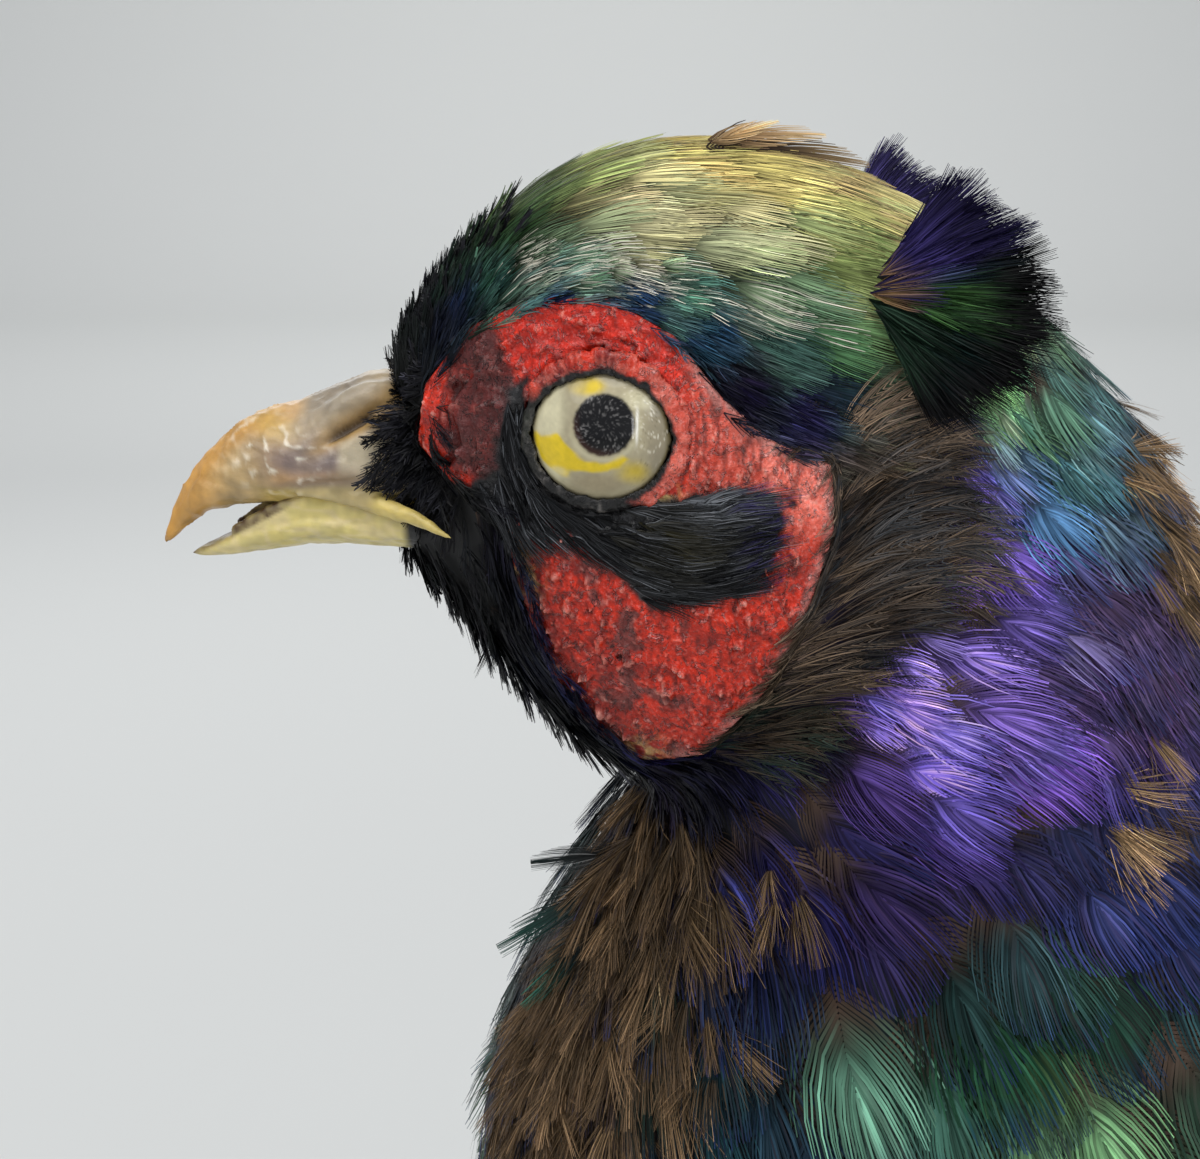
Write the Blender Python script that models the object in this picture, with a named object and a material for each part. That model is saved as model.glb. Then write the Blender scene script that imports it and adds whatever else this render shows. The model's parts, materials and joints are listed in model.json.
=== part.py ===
"""A mounted cock green pheasant on a wooden base, life size, built from lofted solids.

The bird's body heads along -X, its left side is -Y, and the base's underside is at Z = 0.
The head is turned to the bird's right on a short, drawn-in neck.
"""

import math

import bmesh
import bpy
import numpy as np
from mathutils import Matrix, Vector

MM = 0.001
GAP = 0.35 * MM  # clearance between neighbouring pieces

# ---- driving dimensions, in millimetres -------------------------------------------------
BASE_LENGTH, BASE_WIDTH, BASE_HEIGHT = 300.0, 176.0, 24.0
BASE_CORNER, BASE_STEP = 30.0, 7.0  # corner radius and width of the moulded edge
BREAST_FORWARD, BREAST_HEIGHT = 52.0, 216.0  # middle of the breast, ahead of the base's centre
TRUNK_PITCH = 20.0  # degrees that the trunk's axis falls towards the tail
EYE_FORWARD, EYE_ASIDE, EYE_RISE = 63.0, 26.0, 112.0  # from the middle of the breast to between the eyes
HEAD_TURN = 60.0  # degrees that the head is turned to the bird's right
EYE_RADIUS, EYE_APART, EYE_SET_BACK = 8.6, 22.2, 1.4
EYE_LOOK = 12.0  # degrees that each eye looks ahead of straight sideways
LID_LENGTH, LID_HEIGHT, LID_THICKNESS = 12.9, 11.7, 1.5  # along the middle of the lids' edge
TAIL_LENGTH, TAIL_DROOP = 375.0, 9.0
HIP_ASIDE, HOCK_HEIGHT = 37.0, 73.0  # the hock's height is taken from the base's top
TOE_RADIUS = 3.1

COLOURS = {  # colour, roughness, metallic
    "crown_green": ((0.10, 0.14, 0.05), 0.45, 0.3),
    "neck_violet": ((0.05, 0.02, 0.16), 0.40, 0.4),
    "breast_green": ((0.02, 0.09, 0.04), 0.45, 0.4),
    "wing_slate": ((0.16, 0.17, 0.15), 0.55, 0.1),
    "tail_olive": ((0.20, 0.18, 0.12), 0.60, 0.0),
    "thigh_brown": ((0.05, 0.035, 0.02), 0.70, 0.0),
    "face_red": ((0.55, 0.03, 0.02), 0.50, 0.0),
    "horn_bill": ((0.55, 0.45, 0.25), 0.40, 0.0),
    "lid_black": ((0.015, 0.012, 0.012), 0.50, 0.0),
    "glass_eye": ((0.60, 0.52, 0.25), 0.08, 0.0),
    "leg_scale": ((0.27, 0.22, 0.16), 0.55, 0.0),
    "claw_horn": ((0.06, 0.045, 0.03), 0.40, 0.0),
    "base_wood": ((0.22, 0.10, 0.04), 0.45, 0.0),
}

# ---- station tables, in millimetres -----------------------------------------------------
# along the trunk's axis from the middle of the breast: half width, rise, drop
TRUNK = (
    (-66, 0, 0, 0),
    (-63, 21, 19, 22),
    (-54, 40, 36, 40),
    (-36, 57, 53, 59),
    (-10, 66, 61, 69),
    (25, 70, 63, 72),
    (65, 69, 60, 68),
    (105, 60, 50, 56),
    (145, 45, 37, 38),
    (178, 31, 24, 24),
    (196, 22, 16, 15),
    (203, 0, 0, 0),
)
# down the neck, from the eyes: forward of the breast's middle, height above it, half width, half depth, lean
NECK = (
    (46, 120, 11, 11, 24),
    (47, 110, 18.5, 18.5, 26),
    (46, 98, 24.5, 25, 28),
    (42, 82, 29, 33, 30),
    (35, 60, 45, 44, 26),
    (21, 34, 59, 54, 20),
    (8, 6, 63, 57, 14),
)
# along the head from between the eyes, forward: top, underside, half width
HEAD = (
    (21.5, -4.5, -4.5, 0),
    (20.6, 1.8, -10.6, 4.8),
    (18.4, 7.6, -14.2, 7.4),
    (14.8, 13.2, -18.0, 9.9),
    (10.5, 17.8, -23.2, 12.4),
    (5.5, 21.7, -29.6, 14.7),
    (0, 24.1, -34.4, 16.4),
    (-6, 25.2, -37.4, 17.8),
    (-13, 25.0, -38.6, 18.8),
    (-20, 23.4, -37.6, 19.0),
    (-27, 20.6, -33.5, 18.0),
    (-33, 16.4, -26.5, 15.0),
    (-37.6, 11.0, -17.5, 10.0),
    (-40, -2, -2, 0),
)
HEAD_WAIST = -6.0  # height of the head's widest line
# along the bill: top, underside, half width
UPPER_BILL = (
    (9, -1.5, -8.6, 4.6),
    (14.5, 2.4, -10.2, 6.8),
    (20, 3.4, -9.6, 6.7),
    (24.3, 1.9, -8.8, 6.1),
    (28, 0.4, -8.5, 5.3),
    (32.5, -2.3, -8.9, 4.2),
    (36.2, -5.6, -10.4, 3.1),
    (39.2, -9.3, -12.1, 1.8),
    (41.4, -13.4, -13.6, 0),
)
LOWER_BILL = (
    (9, -10.9, -13.4, 3.6),
    (14.5, -10.7, -13.8, 5.6),
    (20, -10.2, -13.4, 5.5),
    (26, -9.6, -13.2, 4.5),
    (31, -10.9, -13.9, 3.3),
    (35, -12.8, -14.5, 2.0),
    (38, -14.4, -14.6, 0),
)
# the red face's outline on the side of the head: forward, height
WATTLE = (
    (16.4, -2), (15.6, 3.2), (11.5, 8.6), (5.5, 11.4), (-1, 11.5), (-6.4, 8.6), (-10.4, 3.6),
    (-15, -0.2), (-20, -2.2), (-20.2, -8), (-18.2, -15), (-14.6, -23), (-9.4, -29.8), (-4, -31),
    (0.4, -28.6), (4.4, -22.6), (7, -15), (8.4, -9), (12, -6.4),
)
# along the ear tuft from its root: half height, half width
EAR_TUFT = ((0, 2.2, 1.6), (4, 4.6, 2.6), (9, 8.2, 3.4), (14, 9.6, 3.2), (17, 8.2, 2.2), (18.6, 0, 0))
# along the trunk's axis: the closed wing's top and bottom angle, and its thickness
WING = (
    (-44, 22, 12, 1.0),
    (-38, 46, -4, 4.0),
    (-20, 58, -18, 8.0),
    (20, 62, -22, 9.5),
    (70, 60, -20, 9.0),
    (120, 58, -12, 7.5),
    (160, 52, 0, 6.0),
    (192, 42, 10, 4.5),
    (214, 28, 16, 1.6),
)
WING_SIDE = ((-70, 40), (-40, 57), (-10, 66), (25, 70), (65, 69), (105, 63), (145, 54), (180, 44), (220, 33))
# along the tail: half width, thickness, fall of its edges below its ridge
TAIL = (
    (-26, 12, 7, 3),
    (0, 22, 11, 9),
    (40, 27, 10, 13),
    (90, 27, 8.5, 14),
    (96, 24.5, 8.2, 12.6),
    (150, 23, 7, 12),
    (156, 20, 6.7, 10),
    (212, 17.5, 5.6, 8.5),
    (218, 14.5, 5.4, 7),
    (276, 12, 4.4, 5.4),
    (282, 9.4, 4.2, 4.2),
    (335, 7, 3.2, 2.8),
    (362, 4, 2.2, 1.4),
    (375, 0.6, 0.8, 0.2),
)
# from the hip down to the hock: forward of the base's centre, height above its top, radii fore-and-aft and across
THIGH = (
    (10, 152, 30, 21),
    (6, 132, 29, 21),
    (-3, 111, 22, 17),
    (-13, 92, 13.5, 11.5),
    (-20, 80, 8, 7.5),
    (-22, 74, 5.5, 5.5),
)
SHANK = (
    (-22, 79, 4.4, 3.8),
    (-22.4, 73, 5.6, 4.6),
    (-19, 64, 4.4, 3.5),
    (-11, 42, 3.7, 3.1),
    (-2, 19, 3.9, 3.5),
    (1.2, 10.5, 4.6, 4.4),
)
# the toes: turn out from straight ahead in degrees, length, start ahead of the foot's middle
TOES = (("inner", 24.0, 37.0), ("middle", -2.0, 48.0), ("outer", -30.0, 38.0), ("hind", 172.0, 17.0))
FOOT_FORWARD = 1.2
CLAW_LENGTH, SPUR_LENGTH = 10.5, 11.0


# ---- shape helpers ----------------------------------------------------------------------
def clear_scene():
    for item in list(bpy.data.objects):
        bpy.data.objects.remove(item)


def smooth_rows(table, places):
    """The table's columns read at these places along its first one, on a smooth monotone curve."""
    rows = np.array(table, float)
    if rows[0, 0] > rows[-1, 0]:
        rows = rows[::-1]
    x = rows[:, 0]
    result = []
    for column in rows[:, 1:].T:
        slope = np.diff(column) / np.diff(x)
        inner = np.where(slope[:-1] * slope[1:] > 0, 2 * slope[:-1] * slope[1:] / (slope[:-1] + slope[1:] + 1e-12), 0)
        tangent = np.concatenate([[slope[0]], inner, [slope[-1]]])
        at = np.clip(np.searchsorted(x, places) - 1, 0, len(x) - 2)
        width = x[at + 1] - x[at]
        t = (np.asarray(places, float) - x[at]) / width
        result.append(
            (2 * t**3 - 3 * t**2 + 1) * column[at]
            + (t**3 - 2 * t**2 + t) * width * tangent[at]
            + (3 * t**2 - 2 * t**3) * column[at + 1]
            + (t**3 - t**2) * width * tangent[at + 1]
        )
    return np.array(result).T


def oval(centre, side, up, half_width, rise, drop, fullness=2.0, count=24):
    """A closed ring: an oval whose upper and lower halves have their own heights."""
    points = []
    for step in range(count):
        angle = 2 * math.pi * step / count
        c, s = math.cos(angle), math.sin(angle)
        across = math.copysign(abs(c) ** (2 / fullness), c) * half_width
        height = math.copysign(abs(s) ** (2 / fullness), s) * (rise if s > 0 else drop)
        points.append(centre + side * across + up * height)
    return points


def add_solid(name, rings, material, hidden=False):
    """One closed mesh object through these rings. A ring whose points meet becomes a pole."""
    bm = bmesh.new()
    loops = []
    for ring in rings:
        if (ring[0] - ring[len(ring) // 2]).length < 0.02 * MM:
            loops.append([bm.verts.new(ring[0])])
        else:
            loops.append([bm.verts.new(p) for p in ring])
    for a, b in zip(loops, loops[1:]):
        count = max(len(a), len(b))
        for k in range(count):
            n = (k + 1) % count
            corners = [a[k % len(a)], a[n % len(a)], b[n % len(b)], b[k % len(b)]]
            bm.faces.new(list(dict.fromkeys(corners)))
    for end in (loops[0], loops[-1]):
        if len(end) > 1:
            bm.faces.new(end)
    bmesh.ops.recalc_face_normals(bm, faces=bm.faces)
    return add_mesh(name, bm, material, hidden)


def add_mesh(name, bm, material, hidden=False):
    mesh = bpy.data.meshes.new(name)
    bm.to_mesh(mesh)
    bm.free()
    mesh.shade_smooth()
    mesh.set_sharp_from_angle(angle=math.radians(50))
    obj = bpy.data.objects.new(name, mesh)
    bpy.context.scene.collection.objects.link(obj)
    if material:
        mesh.materials.append(finish(material))
    if hidden:
        obj.hide_render = True
        obj.display_type = "WIRE"
    return obj


def finish(name):
    """The named material, made once."""
    made = bpy.data.materials.get(name)
    if made is None:
        colour, roughness, metallic = COLOURS[name]
        made = bpy.data.materials.new(name)
        made.use_nodes = True
        shader = made.node_tree.nodes["Principled BSDF"]
        shader.inputs["Base Color"].default_value = (*colour, 1)
        shader.inputs["Roughness"].default_value = roughness
        shader.inputs["Metallic"].default_value = metallic
        made.diffuse_color = (*colour, 1)
    return made


def combine(obj, other, operation):
    """Applies one Boolean to obj."""
    modifier = obj.modifiers.new("join" if operation == "UNION" else "cut", "BOOLEAN")
    modifier.operation = operation
    modifier.solver = "EXACT"
    modifier.object = other
    graph = bpy.context.evaluated_depsgraph_get()
    mesh = bpy.data.meshes.new_from_object(obj.evaluated_get(graph))
    obj.modifiers.clear()
    obj.data = mesh
    mesh.shade_smooth()
    mesh.set_sharp_from_angle(angle=math.radians(50))


def grown(obj, by=GAP):
    """A hidden copy of obj, each point moved out along its normal."""
    mesh = obj.data.copy()
    normals = [v.normal.copy() for v in mesh.vertices]
    for vertex, normal in zip(mesh.vertices, normals):
        vertex.co += normal * by
    copy = bpy.data.objects.new(obj.name + "_cutter", mesh)
    bpy.context.scene.collection.objects.link(copy)
    copy.hide_render = True
    copy.display_type = "WIRE"
    return copy


def cut(obj, *rooms):
    """Takes these rooms (grown copies of the neighbours) out of obj, and keeps its one body."""
    for room in rooms:
        combine(obj, room, "DIFFERENCE")
    keep_largest(obj)


def keep_largest(obj):
    """Drops the loose scraps that a cut leaves, so that obj is one body."""
    bm = bmesh.new()
    bm.from_mesh(obj.data)
    bm.verts.index_update()
    group = [-1] * len(bm.verts)
    sizes = []
    for start in bm.verts:
        if group[start.index] >= 0:
            continue
        group[start.index] = len(sizes)
        stack, size = [start], 0
        while stack:
            vertex = stack.pop()
            size += 1
            for edge in vertex.link_edges:
                far = edge.other_vert(vertex)
                if group[far.index] < 0:
                    group[far.index] = len(sizes)
                    stack.append(far)
        sizes.append(size)
    best = sizes.index(max(sizes))
    bmesh.ops.delete(bm, geom=[v for v in bm.verts if group[v.index] != best], context="VERTS")
    bm.to_mesh(obj.data)
    bm.free()


# ---- frames -----------------------------------------------------------------------------
def base_top():
    return BASE_HEIGHT * MM


def breast():
    return Vector((-BREAST_FORWARD, 0, BREAST_HEIGHT)) * MM


def trunk_axes():
    pitch = math.radians(TRUNK_PITCH)
    return Vector((math.cos(pitch), 0, -math.sin(pitch))), Vector((math.sin(pitch), 0, math.cos(pitch)))


def eye_point():
    return breast() + Vector((-EYE_FORWARD, EYE_ASIDE, EYE_RISE)) * MM


def head_axes():
    """Forward, left and up of the turned head."""
    turn = math.radians(HEAD_TURN)
    forward = Vector((-math.cos(turn), math.sin(turn), 0))
    return forward, Vector((0, 0, 1)).cross(forward), Vector((0, 0, 1))


def in_head(ahead, left, height):
    forward, aside, up = head_axes()
    return eye_point() + (forward * ahead + aside * left + up * height) * MM


# ---- the body ---------------------------------------------------------------------------
def make_trunk():
    axis, up = trunk_axes()
    places = np.concatenate([[-66, -64.5, -61], np.linspace(-55, 190, 15), [198, 203]])
    rings = [
        oval(breast() + axis * s * MM, Vector((0, -1, 0)), up, w * MM, rise * MM, drop * MM, 2.15, 22)
        for s, (w, rise, drop) in zip(places, smooth_rows(TRUNK, places))
    ]
    return add_solid("trunk", rings, "breast_green")


def make_neck():
    rings = []
    rows = np.array(NECK, float)
    steps = np.arange(len(rows))
    table = np.column_stack([steps, rows])
    for ahead, height, half_width, half_depth, lean in smooth_rows(table, np.linspace(0, len(rows) - 1, 11)):
        tilt = math.radians(lean)
        fore = Vector((-math.cos(tilt), 0, -math.sin(tilt)))
        centre = breast() + Vector((-ahead, 0, height)) * MM
        rings.append(oval(centre, Vector((0, -1, 0)), fore, half_width * MM, half_depth * MM, half_depth * MM, 2.1, 22))
    return add_solid("neck", rings, "neck_violet")


def head_rings(grow=0.0):
    forward, left, up = head_axes()
    places = np.array([21.5, 21.1, 20, 17.8, 14.5, 10.5, 6, 1, -5, -11, -17, -23, -28.5, -32.5, -36, -38.6, -40])
    rings = []
    for ahead, (top, under, half_width) in zip(places, smooth_rows(HEAD, places)):
        waist = HEAD_WAIST + (top - HEAD_WAIST) * 0.0 if top > HEAD_WAIST + 1 else (top + under) / 2
        rise, drop = max(top - waist, 0), max(waist - under, 0)
        scale = grow if half_width > 0.5 else 0
        centre = in_head(ahead + (grow if ahead > 21.4 else -grow if ahead < -39.9 else 0), 0, waist)
        rings.append(oval(centre, left, up, (half_width + scale) * MM, (rise + scale) * MM, (drop + scale) * MM, 2.35, 24))
    return rings


def make_head():
    return add_solid("head", head_rings(), "crown_green")


def make_bill():
    _, left, up = head_axes()
    made = []
    for name, table, count in (("bill_upper", UPPER_BILL, 9), ("bill_lower", LOWER_BILL, 8)):
        rows = np.array(table, float)
        places = np.concatenate([np.linspace(rows[0, 0], rows[-1, 0] - 1.2, count + 2), [rows[-1, 0]]])
        rings = []
        for ahead, (top, under, half_width) in zip(places, smooth_rows(table, places)):
            middle = under + (top - under) * (0.30 if name == "bill_upper" else 0.75)
            rise, drop = (top - middle) * MM, (middle - under) * MM
            if half_width < 0.05:
                rise = drop = 0
            rings.append(oval(in_head(ahead, 0, middle), left, up, half_width * MM, rise, drop, 1.8, 14))
        made.append(add_solid(name, rings, "horn_bill"))
    return made


def eye_axes(side):
    """The eye's middle, the way it looks, and the line along its lids."""
    forward, left, _ = head_axes()
    turn = math.radians(EYE_LOOK)
    outward = left * side * math.cos(turn) + forward * math.sin(turn)
    return in_head(-EYE_SET_BACK, side * EYE_APART / 2, 0), outward, forward * math.cos(turn) - left * side * math.sin(turn)


def make_eye(side, name):
    """A glass eye: a whole ball, most of it inside the socket."""
    centre, outward, along = eye_axes(side)
    rings = []
    for step in range(9):
        angle = math.pi * step / 8
        radius = EYE_RADIUS * math.sin(angle) * MM
        middle = centre + outward * (EYE_RADIUS * math.cos(angle) * MM)
        rings.append(oval(middle, along, Vector((0, 0, 1)), radius, radius, radius, 2.0, 16))
    return add_solid(name, rings, "glass_eye")


def make_lids(side, name):
    """The thin black edge of the lids, a ring lying against the eye."""
    centre, outward, along = eye_axes(side)
    bm = bmesh.new()
    rows, around, thick = [], 20, LID_THICKNESS / 2 * MM
    for step in range(around):
        angle = 2 * math.pi * step / around
        flat = along * (math.cos(angle) * LID_LENGTH / 2) + Vector((0, 0, 1)) * (math.sin(angle) * LID_HEIGHT / 2)
        lift = math.sqrt(EYE_RADIUS**2 - flat.length_squared)
        middle, away = centre + (flat + outward * lift) * MM, flat.normalized()
        row = []
        for k in range(6):
            roll = 2 * math.pi * k / 6
            row.append(bm.verts.new(middle + (away * math.cos(roll) + outward * math.sin(roll)) * thick))
        rows.append(row)
    for a, b in zip(rows, rows[1:] + rows[:1]):
        for k in range(6):
            bm.faces.new((a[k], a[(k + 1) % 6], b[(k + 1) % 6], b[k]))
    bmesh.ops.recalc_face_normals(bm, faces=bm.faces)
    return add_mesh(name, bm, "lid_black")


def make_wattle(side, name, core):
    """The bare red skin: the head's surface inside the outline, thicker by a millimetre."""
    _, left, _ = head_axes()
    outlines = {}
    points = np.array(WATTLE, float)
    middle = points.mean(axis=0)
    for kind, grow in (("plate", 0.0), ("pocket", GAP / MM)):
        away = points - middle
        away *= 1 + grow / np.linalg.norm(away, axis=1, keepdims=True)
        rings = [[in_head(*(0, 0, 0)) for _ in points] for _ in range(2)]
        for depth, ring in zip((2.5, 26.0), rings):
            for k, (ahead, height) in enumerate(middle + away):
                ring[k] = in_head(ahead, side * depth, height)
        outlines[kind] = add_solid(name + "_" + kind, rings, None, hidden=True)
    pocket = outlines["pocket"]
    combine(pocket, core, "DIFFERENCE")
    plate = add_solid(name, head_rings(0.9), "face_red")
    combine(plate, outlines["plate"], "INTERSECT")
    combine(plate, grown(core), "DIFFERENCE")
    keep_largest(plate)
    return plate, pocket


def make_ear_tuft(side, name):
    """The brush of feathers behind the ear, fanned towards its end."""
    root = in_head(-21.5, side * 16.8, 6.5)
    tip = in_head(-39.5, side * 20.5, 13.0)
    axis = (tip - root).normalized()
    up = Vector((0, 0, 1))
    across = axis.cross(up).normalized()
    up = across.cross(axis)
    rings = [
        oval(root + axis * s * MM, across, up, width * MM, height * MM, height * 1.25 * MM, 2.2, 12)
        for s, height, width in EAR_TUFT
    ]
    return add_solid(name, rings, "neck_violet")


def make_wing(side, name):
    """A closed wing: a thick shell that follows the trunk's side and runs on past the rump."""
    axis, up = trunk_axes()
    places = np.array([-44, -42, -36, -24, -6, 20, 50, 80, 110, 138, 164, 186, 204, 214])
    body = smooth_rows(TRUNK, np.minimum(places, 150))
    flank = smooth_rows(WING_SIDE, places)
    shape = smooth_rows(WING, places)
    rings = []
    for s, (_, rise, drop), (half_width,), (top, bottom, thick) in zip(places, body, flank, shape):
        angles = np.radians(np.linspace(bottom, top, 7))
        bulge = np.sin(np.pi * (np.arange(7) + 0.35) / 6.7) ** 0.6 * thick
        ring = []
        for angle, out in zip(angles, bulge):
            height = rise if angle > 0 else drop
            ring.append(((half_width + out) * math.cos(angle), (height + out) * math.sin(angle)))
        for angle in angles[::-1]:
            height = rise if angle > 0 else drop
            inner = 4.0 if s < 150 else 2.4
            ring.append(((half_width - inner) * math.cos(angle), (height - inner) * math.sin(angle)))
        origin = breast() + axis * s * MM
        rings.append([origin + Vector((0, -side, 0)) * (y * MM) + up * (z * MM) for y, z in ring])
    return add_solid(name, rings, "wing_slate")


def make_tail():
    """The long tail as one closed roof of feathers, its outline stepped where each pair ends."""
    axis, up = trunk_axes()
    root = breast() + axis * 186 * MM
    droop = math.radians(TAIL_DROOP)
    along = Vector((math.cos(droop), 0, -math.sin(droop)))
    above = Vector((math.sin(droop), 0, math.cos(droop)))
    aside = Vector((0, -1, 0))
    rings = []
    for s, half_width, thick, fall in TAIL:
        ring = []
        spread = np.linspace(-1, 1, 7)
        for t in spread:
            ring.append((t * half_width, -fall * abs(t) ** 1.5))
        for t in spread[::-1]:
            edge = max(thick * (1 - 0.6 * t * t), 0.8)
            ring.append((t * half_width * 0.985, -fall * abs(t) ** 1.5 - edge))
        centre = root + along * s * MM
        rings.append([centre + aside * (y * MM) + above * ((z + 4) * MM) for y, z in ring])
    return add_solid("tail", rings, "tail_olive")


# ---- the legs ---------------------------------------------------------------------------
def limb(name, table, side, material, count):
    """A tapered limb in the plane of one leg, its rings square to its line."""
    rows = np.array(table, float)
    fine = smooth_rows(np.column_stack([np.arange(len(rows)), rows]), np.linspace(0, len(rows) - 1, 8))
    line = [Vector((-a * MM, -side * HIP_ASIDE * MM, base_top() + h * MM)) for a, h, _, _ in fine]
    rings = []
    for k, (_, _, fore, wide) in enumerate(fine):
        run = (line[min(k + 1, len(line) - 1)] - line[max(k - 1, 0)]).normalized()
        across = Vector((0, -1, 0))
        ahead = across.cross(run).normalized()
        rings.append(oval(line[k], across, ahead, wide * MM, fore * MM, fore * MM, 2.0, count))
    return add_solid(name, rings, material)


def foot_middle(side):
    return Vector((-FOOT_FORWARD * MM, -side * HIP_ASIDE * MM, base_top() + TOE_RADIUS * MM + GAP))


def toe_line(side, turn, length):
    """Points along a toe, arched at its joints, and its heading."""
    angle = math.radians(turn) * side
    heading = Vector((-math.cos(angle), math.sin(angle), 0))
    start = foot_middle(side)
    bend = 2.4 if length > 20 else 1.2
    points = []
    for k in range(6):
        t = k / 5
        lift = (1 - t) ** 3 * 6.5 + bend * math.sin(math.pi * min(1, t * 1.15)) ** 2
        points.append(start + heading * (length * t * MM) + Vector((0, 0, lift * MM)))
    return points, heading


def make_foot(side, name):
    """The toes and their ball, joined into one solid."""
    _, left, up = Vector((-1, 0, 0)), Vector((0, -1, 0)), Vector((0, 0, 1))
    rings = []
    ball = foot_middle(side) + up * 5.2 * MM
    for step in range(7):
        angle = math.pi * step / 6
        radius = 5.6 * math.sin(angle) * MM
        rings.append(oval(ball - up * (5.4 * math.cos(angle) * MM), left, Vector((1, 0, 0)), radius, radius, radius, 2, 10))
    foot = add_solid(name, rings, "leg_scale")
    for toe, turn, length in TOES:
        points, heading = toe_line(side, turn, length)
        across = up.cross(heading)
        rings = []
        for k, point in enumerate(points):
            swell = 1 + 0.08 * math.cos(k * math.pi)
            radius = TOE_RADIUS * (1 - 0.34 * k / 5) * swell * MM
            lowest = min(radius, TOE_RADIUS * MM)
            centre = Vector(point)
            if k > 2:
                centre.z = max(centre.z - (TOE_RADIUS * MM - radius), base_top() + lowest + GAP)
            rings.append(oval(centre, across, up, radius, radius, lowest, 2.2, 7))
        piece = add_solid(name + "_" + toe, rings, "leg_scale", hidden=True)
        combine(foot, piece, "UNION")
    return foot


def make_claw(side, foot_name, toe, turn, length):
    """A curved claw that starts just off the toe's end and comes down to the base."""
    points, heading = toe_line(side, turn, length)
    scale = 1.0 if length > 20 else 0.8
    start = points[-1] + heading * GAP * 1.5
    floor = base_top() + 2 * GAP
    across = Vector((0, 0, 1)).cross(heading)
    rings = []
    for k in range(5):
        t = k / 4
        radius = 1.9 * scale * (1 - t) ** 0.8 * MM
        height = floor + (1.9 * scale + 1.5 * math.sin(math.pi * t) - 1.9 * scale * t) * MM
        centre = start + heading * (CLAW_LENGTH * scale * t * MM)
        centre.z = max(height, floor + radius)
        rings.append(oval(centre, across, Vector((0, 0, 1)), radius * 0.8, radius, radius, 2, 6))
    return add_solid(f"{foot_name.replace('foot', 'claw')}_{toe}", rings, "claw_horn")


def make_spur(side, name):
    """The cock's spur: a short cone on the back of the shank, curving up."""
    start = Vector((7.4 * MM, -side * (HIP_ASIDE - 2.4) * MM, base_top() + 33 * MM))
    rings = []
    for k in range(6):
        t = k / 5
        radius = 2.5 * (1 - t) ** 0.85 * MM
        centre = start + Vector((SPUR_LENGTH * t, side * 2.4 * t, 3.2 * t * t)) * MM
        rings.append(oval(centre, Vector((0, 1, 0)), Vector((0, 0, 1)), radius, radius, radius, 2, 8))
    return add_solid(name, rings, "claw_horn")


# ---- the base ---------------------------------------------------------------------------
def make_base():
    """A wooden plinth with rounded corners and a moulded edge."""
    edge = ((0, 0), (0, 11), (1.2, 12.5), (4.6, 14.5))
    profile = edge + ((BASE_STEP, 19.5), (BASE_STEP + 0.8, 22.6), (BASE_STEP + 2.4, BASE_HEIGHT))
    rings = []
    for inset, height in profile:
        ring = []
        corner = BASE_CORNER - inset
        for sx, sy, first in ((1, 1, 0), (-1, 1, 90), (-1, -1, 180), (1, -1, 270)):
            middle = Vector((sx * (BASE_LENGTH / 2 - BASE_CORNER), sy * (BASE_WIDTH / 2 - BASE_CORNER), height))
            for k in range(6):
                angle = math.radians(first + 18 * k)
                ring.append((middle + Vector((math.cos(angle), math.sin(angle), 0)) * corner) * MM)
        rings.append(ring)
    base = add_solid("stand_base", rings, "base_wood")
    base.data.set_sharp_from_angle(angle=math.radians(25))
    return base


def main():
    clear_scene()
    trunk, neck, head, tail = make_trunk(), make_neck(), make_head(), make_tail()
    trunk_room, neck_room, tail_room = grown(trunk), grown(neck), grown(tail)
    core = add_solid("head_core", head_rings(-1.1), None, hidden=True)
    outer_head = add_solid("head_outer", head_rings(0.9 + GAP / MM), None, hidden=True)
    upper, lower = make_bill()
    upper_room, lower_room = grown(upper), grown(lower)
    cut(lower, upper_room)
    tufts = []
    for side, word in ((1, "left"), (-1, "right")):
        eye = make_eye(side, "eye_" + word)
        eye_room = grown(eye)
        lids = make_lids(side, "lids_" + word)
        lids_room = grown(lids)
        cut(lids, eye_room)
        plate, pocket = make_wattle(side, "wattle_" + word, core)
        cut(plate, eye_room, lids_room)
        cut(head, pocket, eye_room, lids_room)
        tufts.append(make_ear_tuft(side, "ear_tuft_" + word))
    cut(head, upper_room, lower_room)
    cut(neck, outer_head, trunk_room)
    for tuft in tufts:
        cut(tuft, outer_head, neck_room)
    cut(tail, trunk_room)
    for side, word in ((1, "left"), (-1, "right")):
        wing = make_wing(side, "wing_" + word)
        wing_room = grown(wing)
        cut(wing, trunk_room, neck_room, tail_room)
        thigh = limb("thigh_" + word, THIGH, side, "thigh_brown", 12)
        shank = limb("shank_" + word, SHANK, side, "leg_scale", 8)
        shank_room = grown(shank)
        foot = make_foot(side, "foot_" + word)
        foot_room = grown(foot)
        cut(thigh, trunk_room, wing_room, shank_room)
        cut(shank, foot_room)
        cut(make_spur(side, "spur_" + word), shank_room)
        for toe, turn, length in TOES:
            cut(make_claw(side, "foot_" + word, toe, turn, length), foot_room)
    make_base()


main()
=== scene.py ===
"""The looks of a mounted cock green pheasant: skin, coat, face, bill, eyes, legs, base and stage.

Lengths are in metres in the part's own frame, unless a comment says millimetres.
Head places are (ahead, aside, up) in millimetres from the point midway between the eyes.
"""

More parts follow.
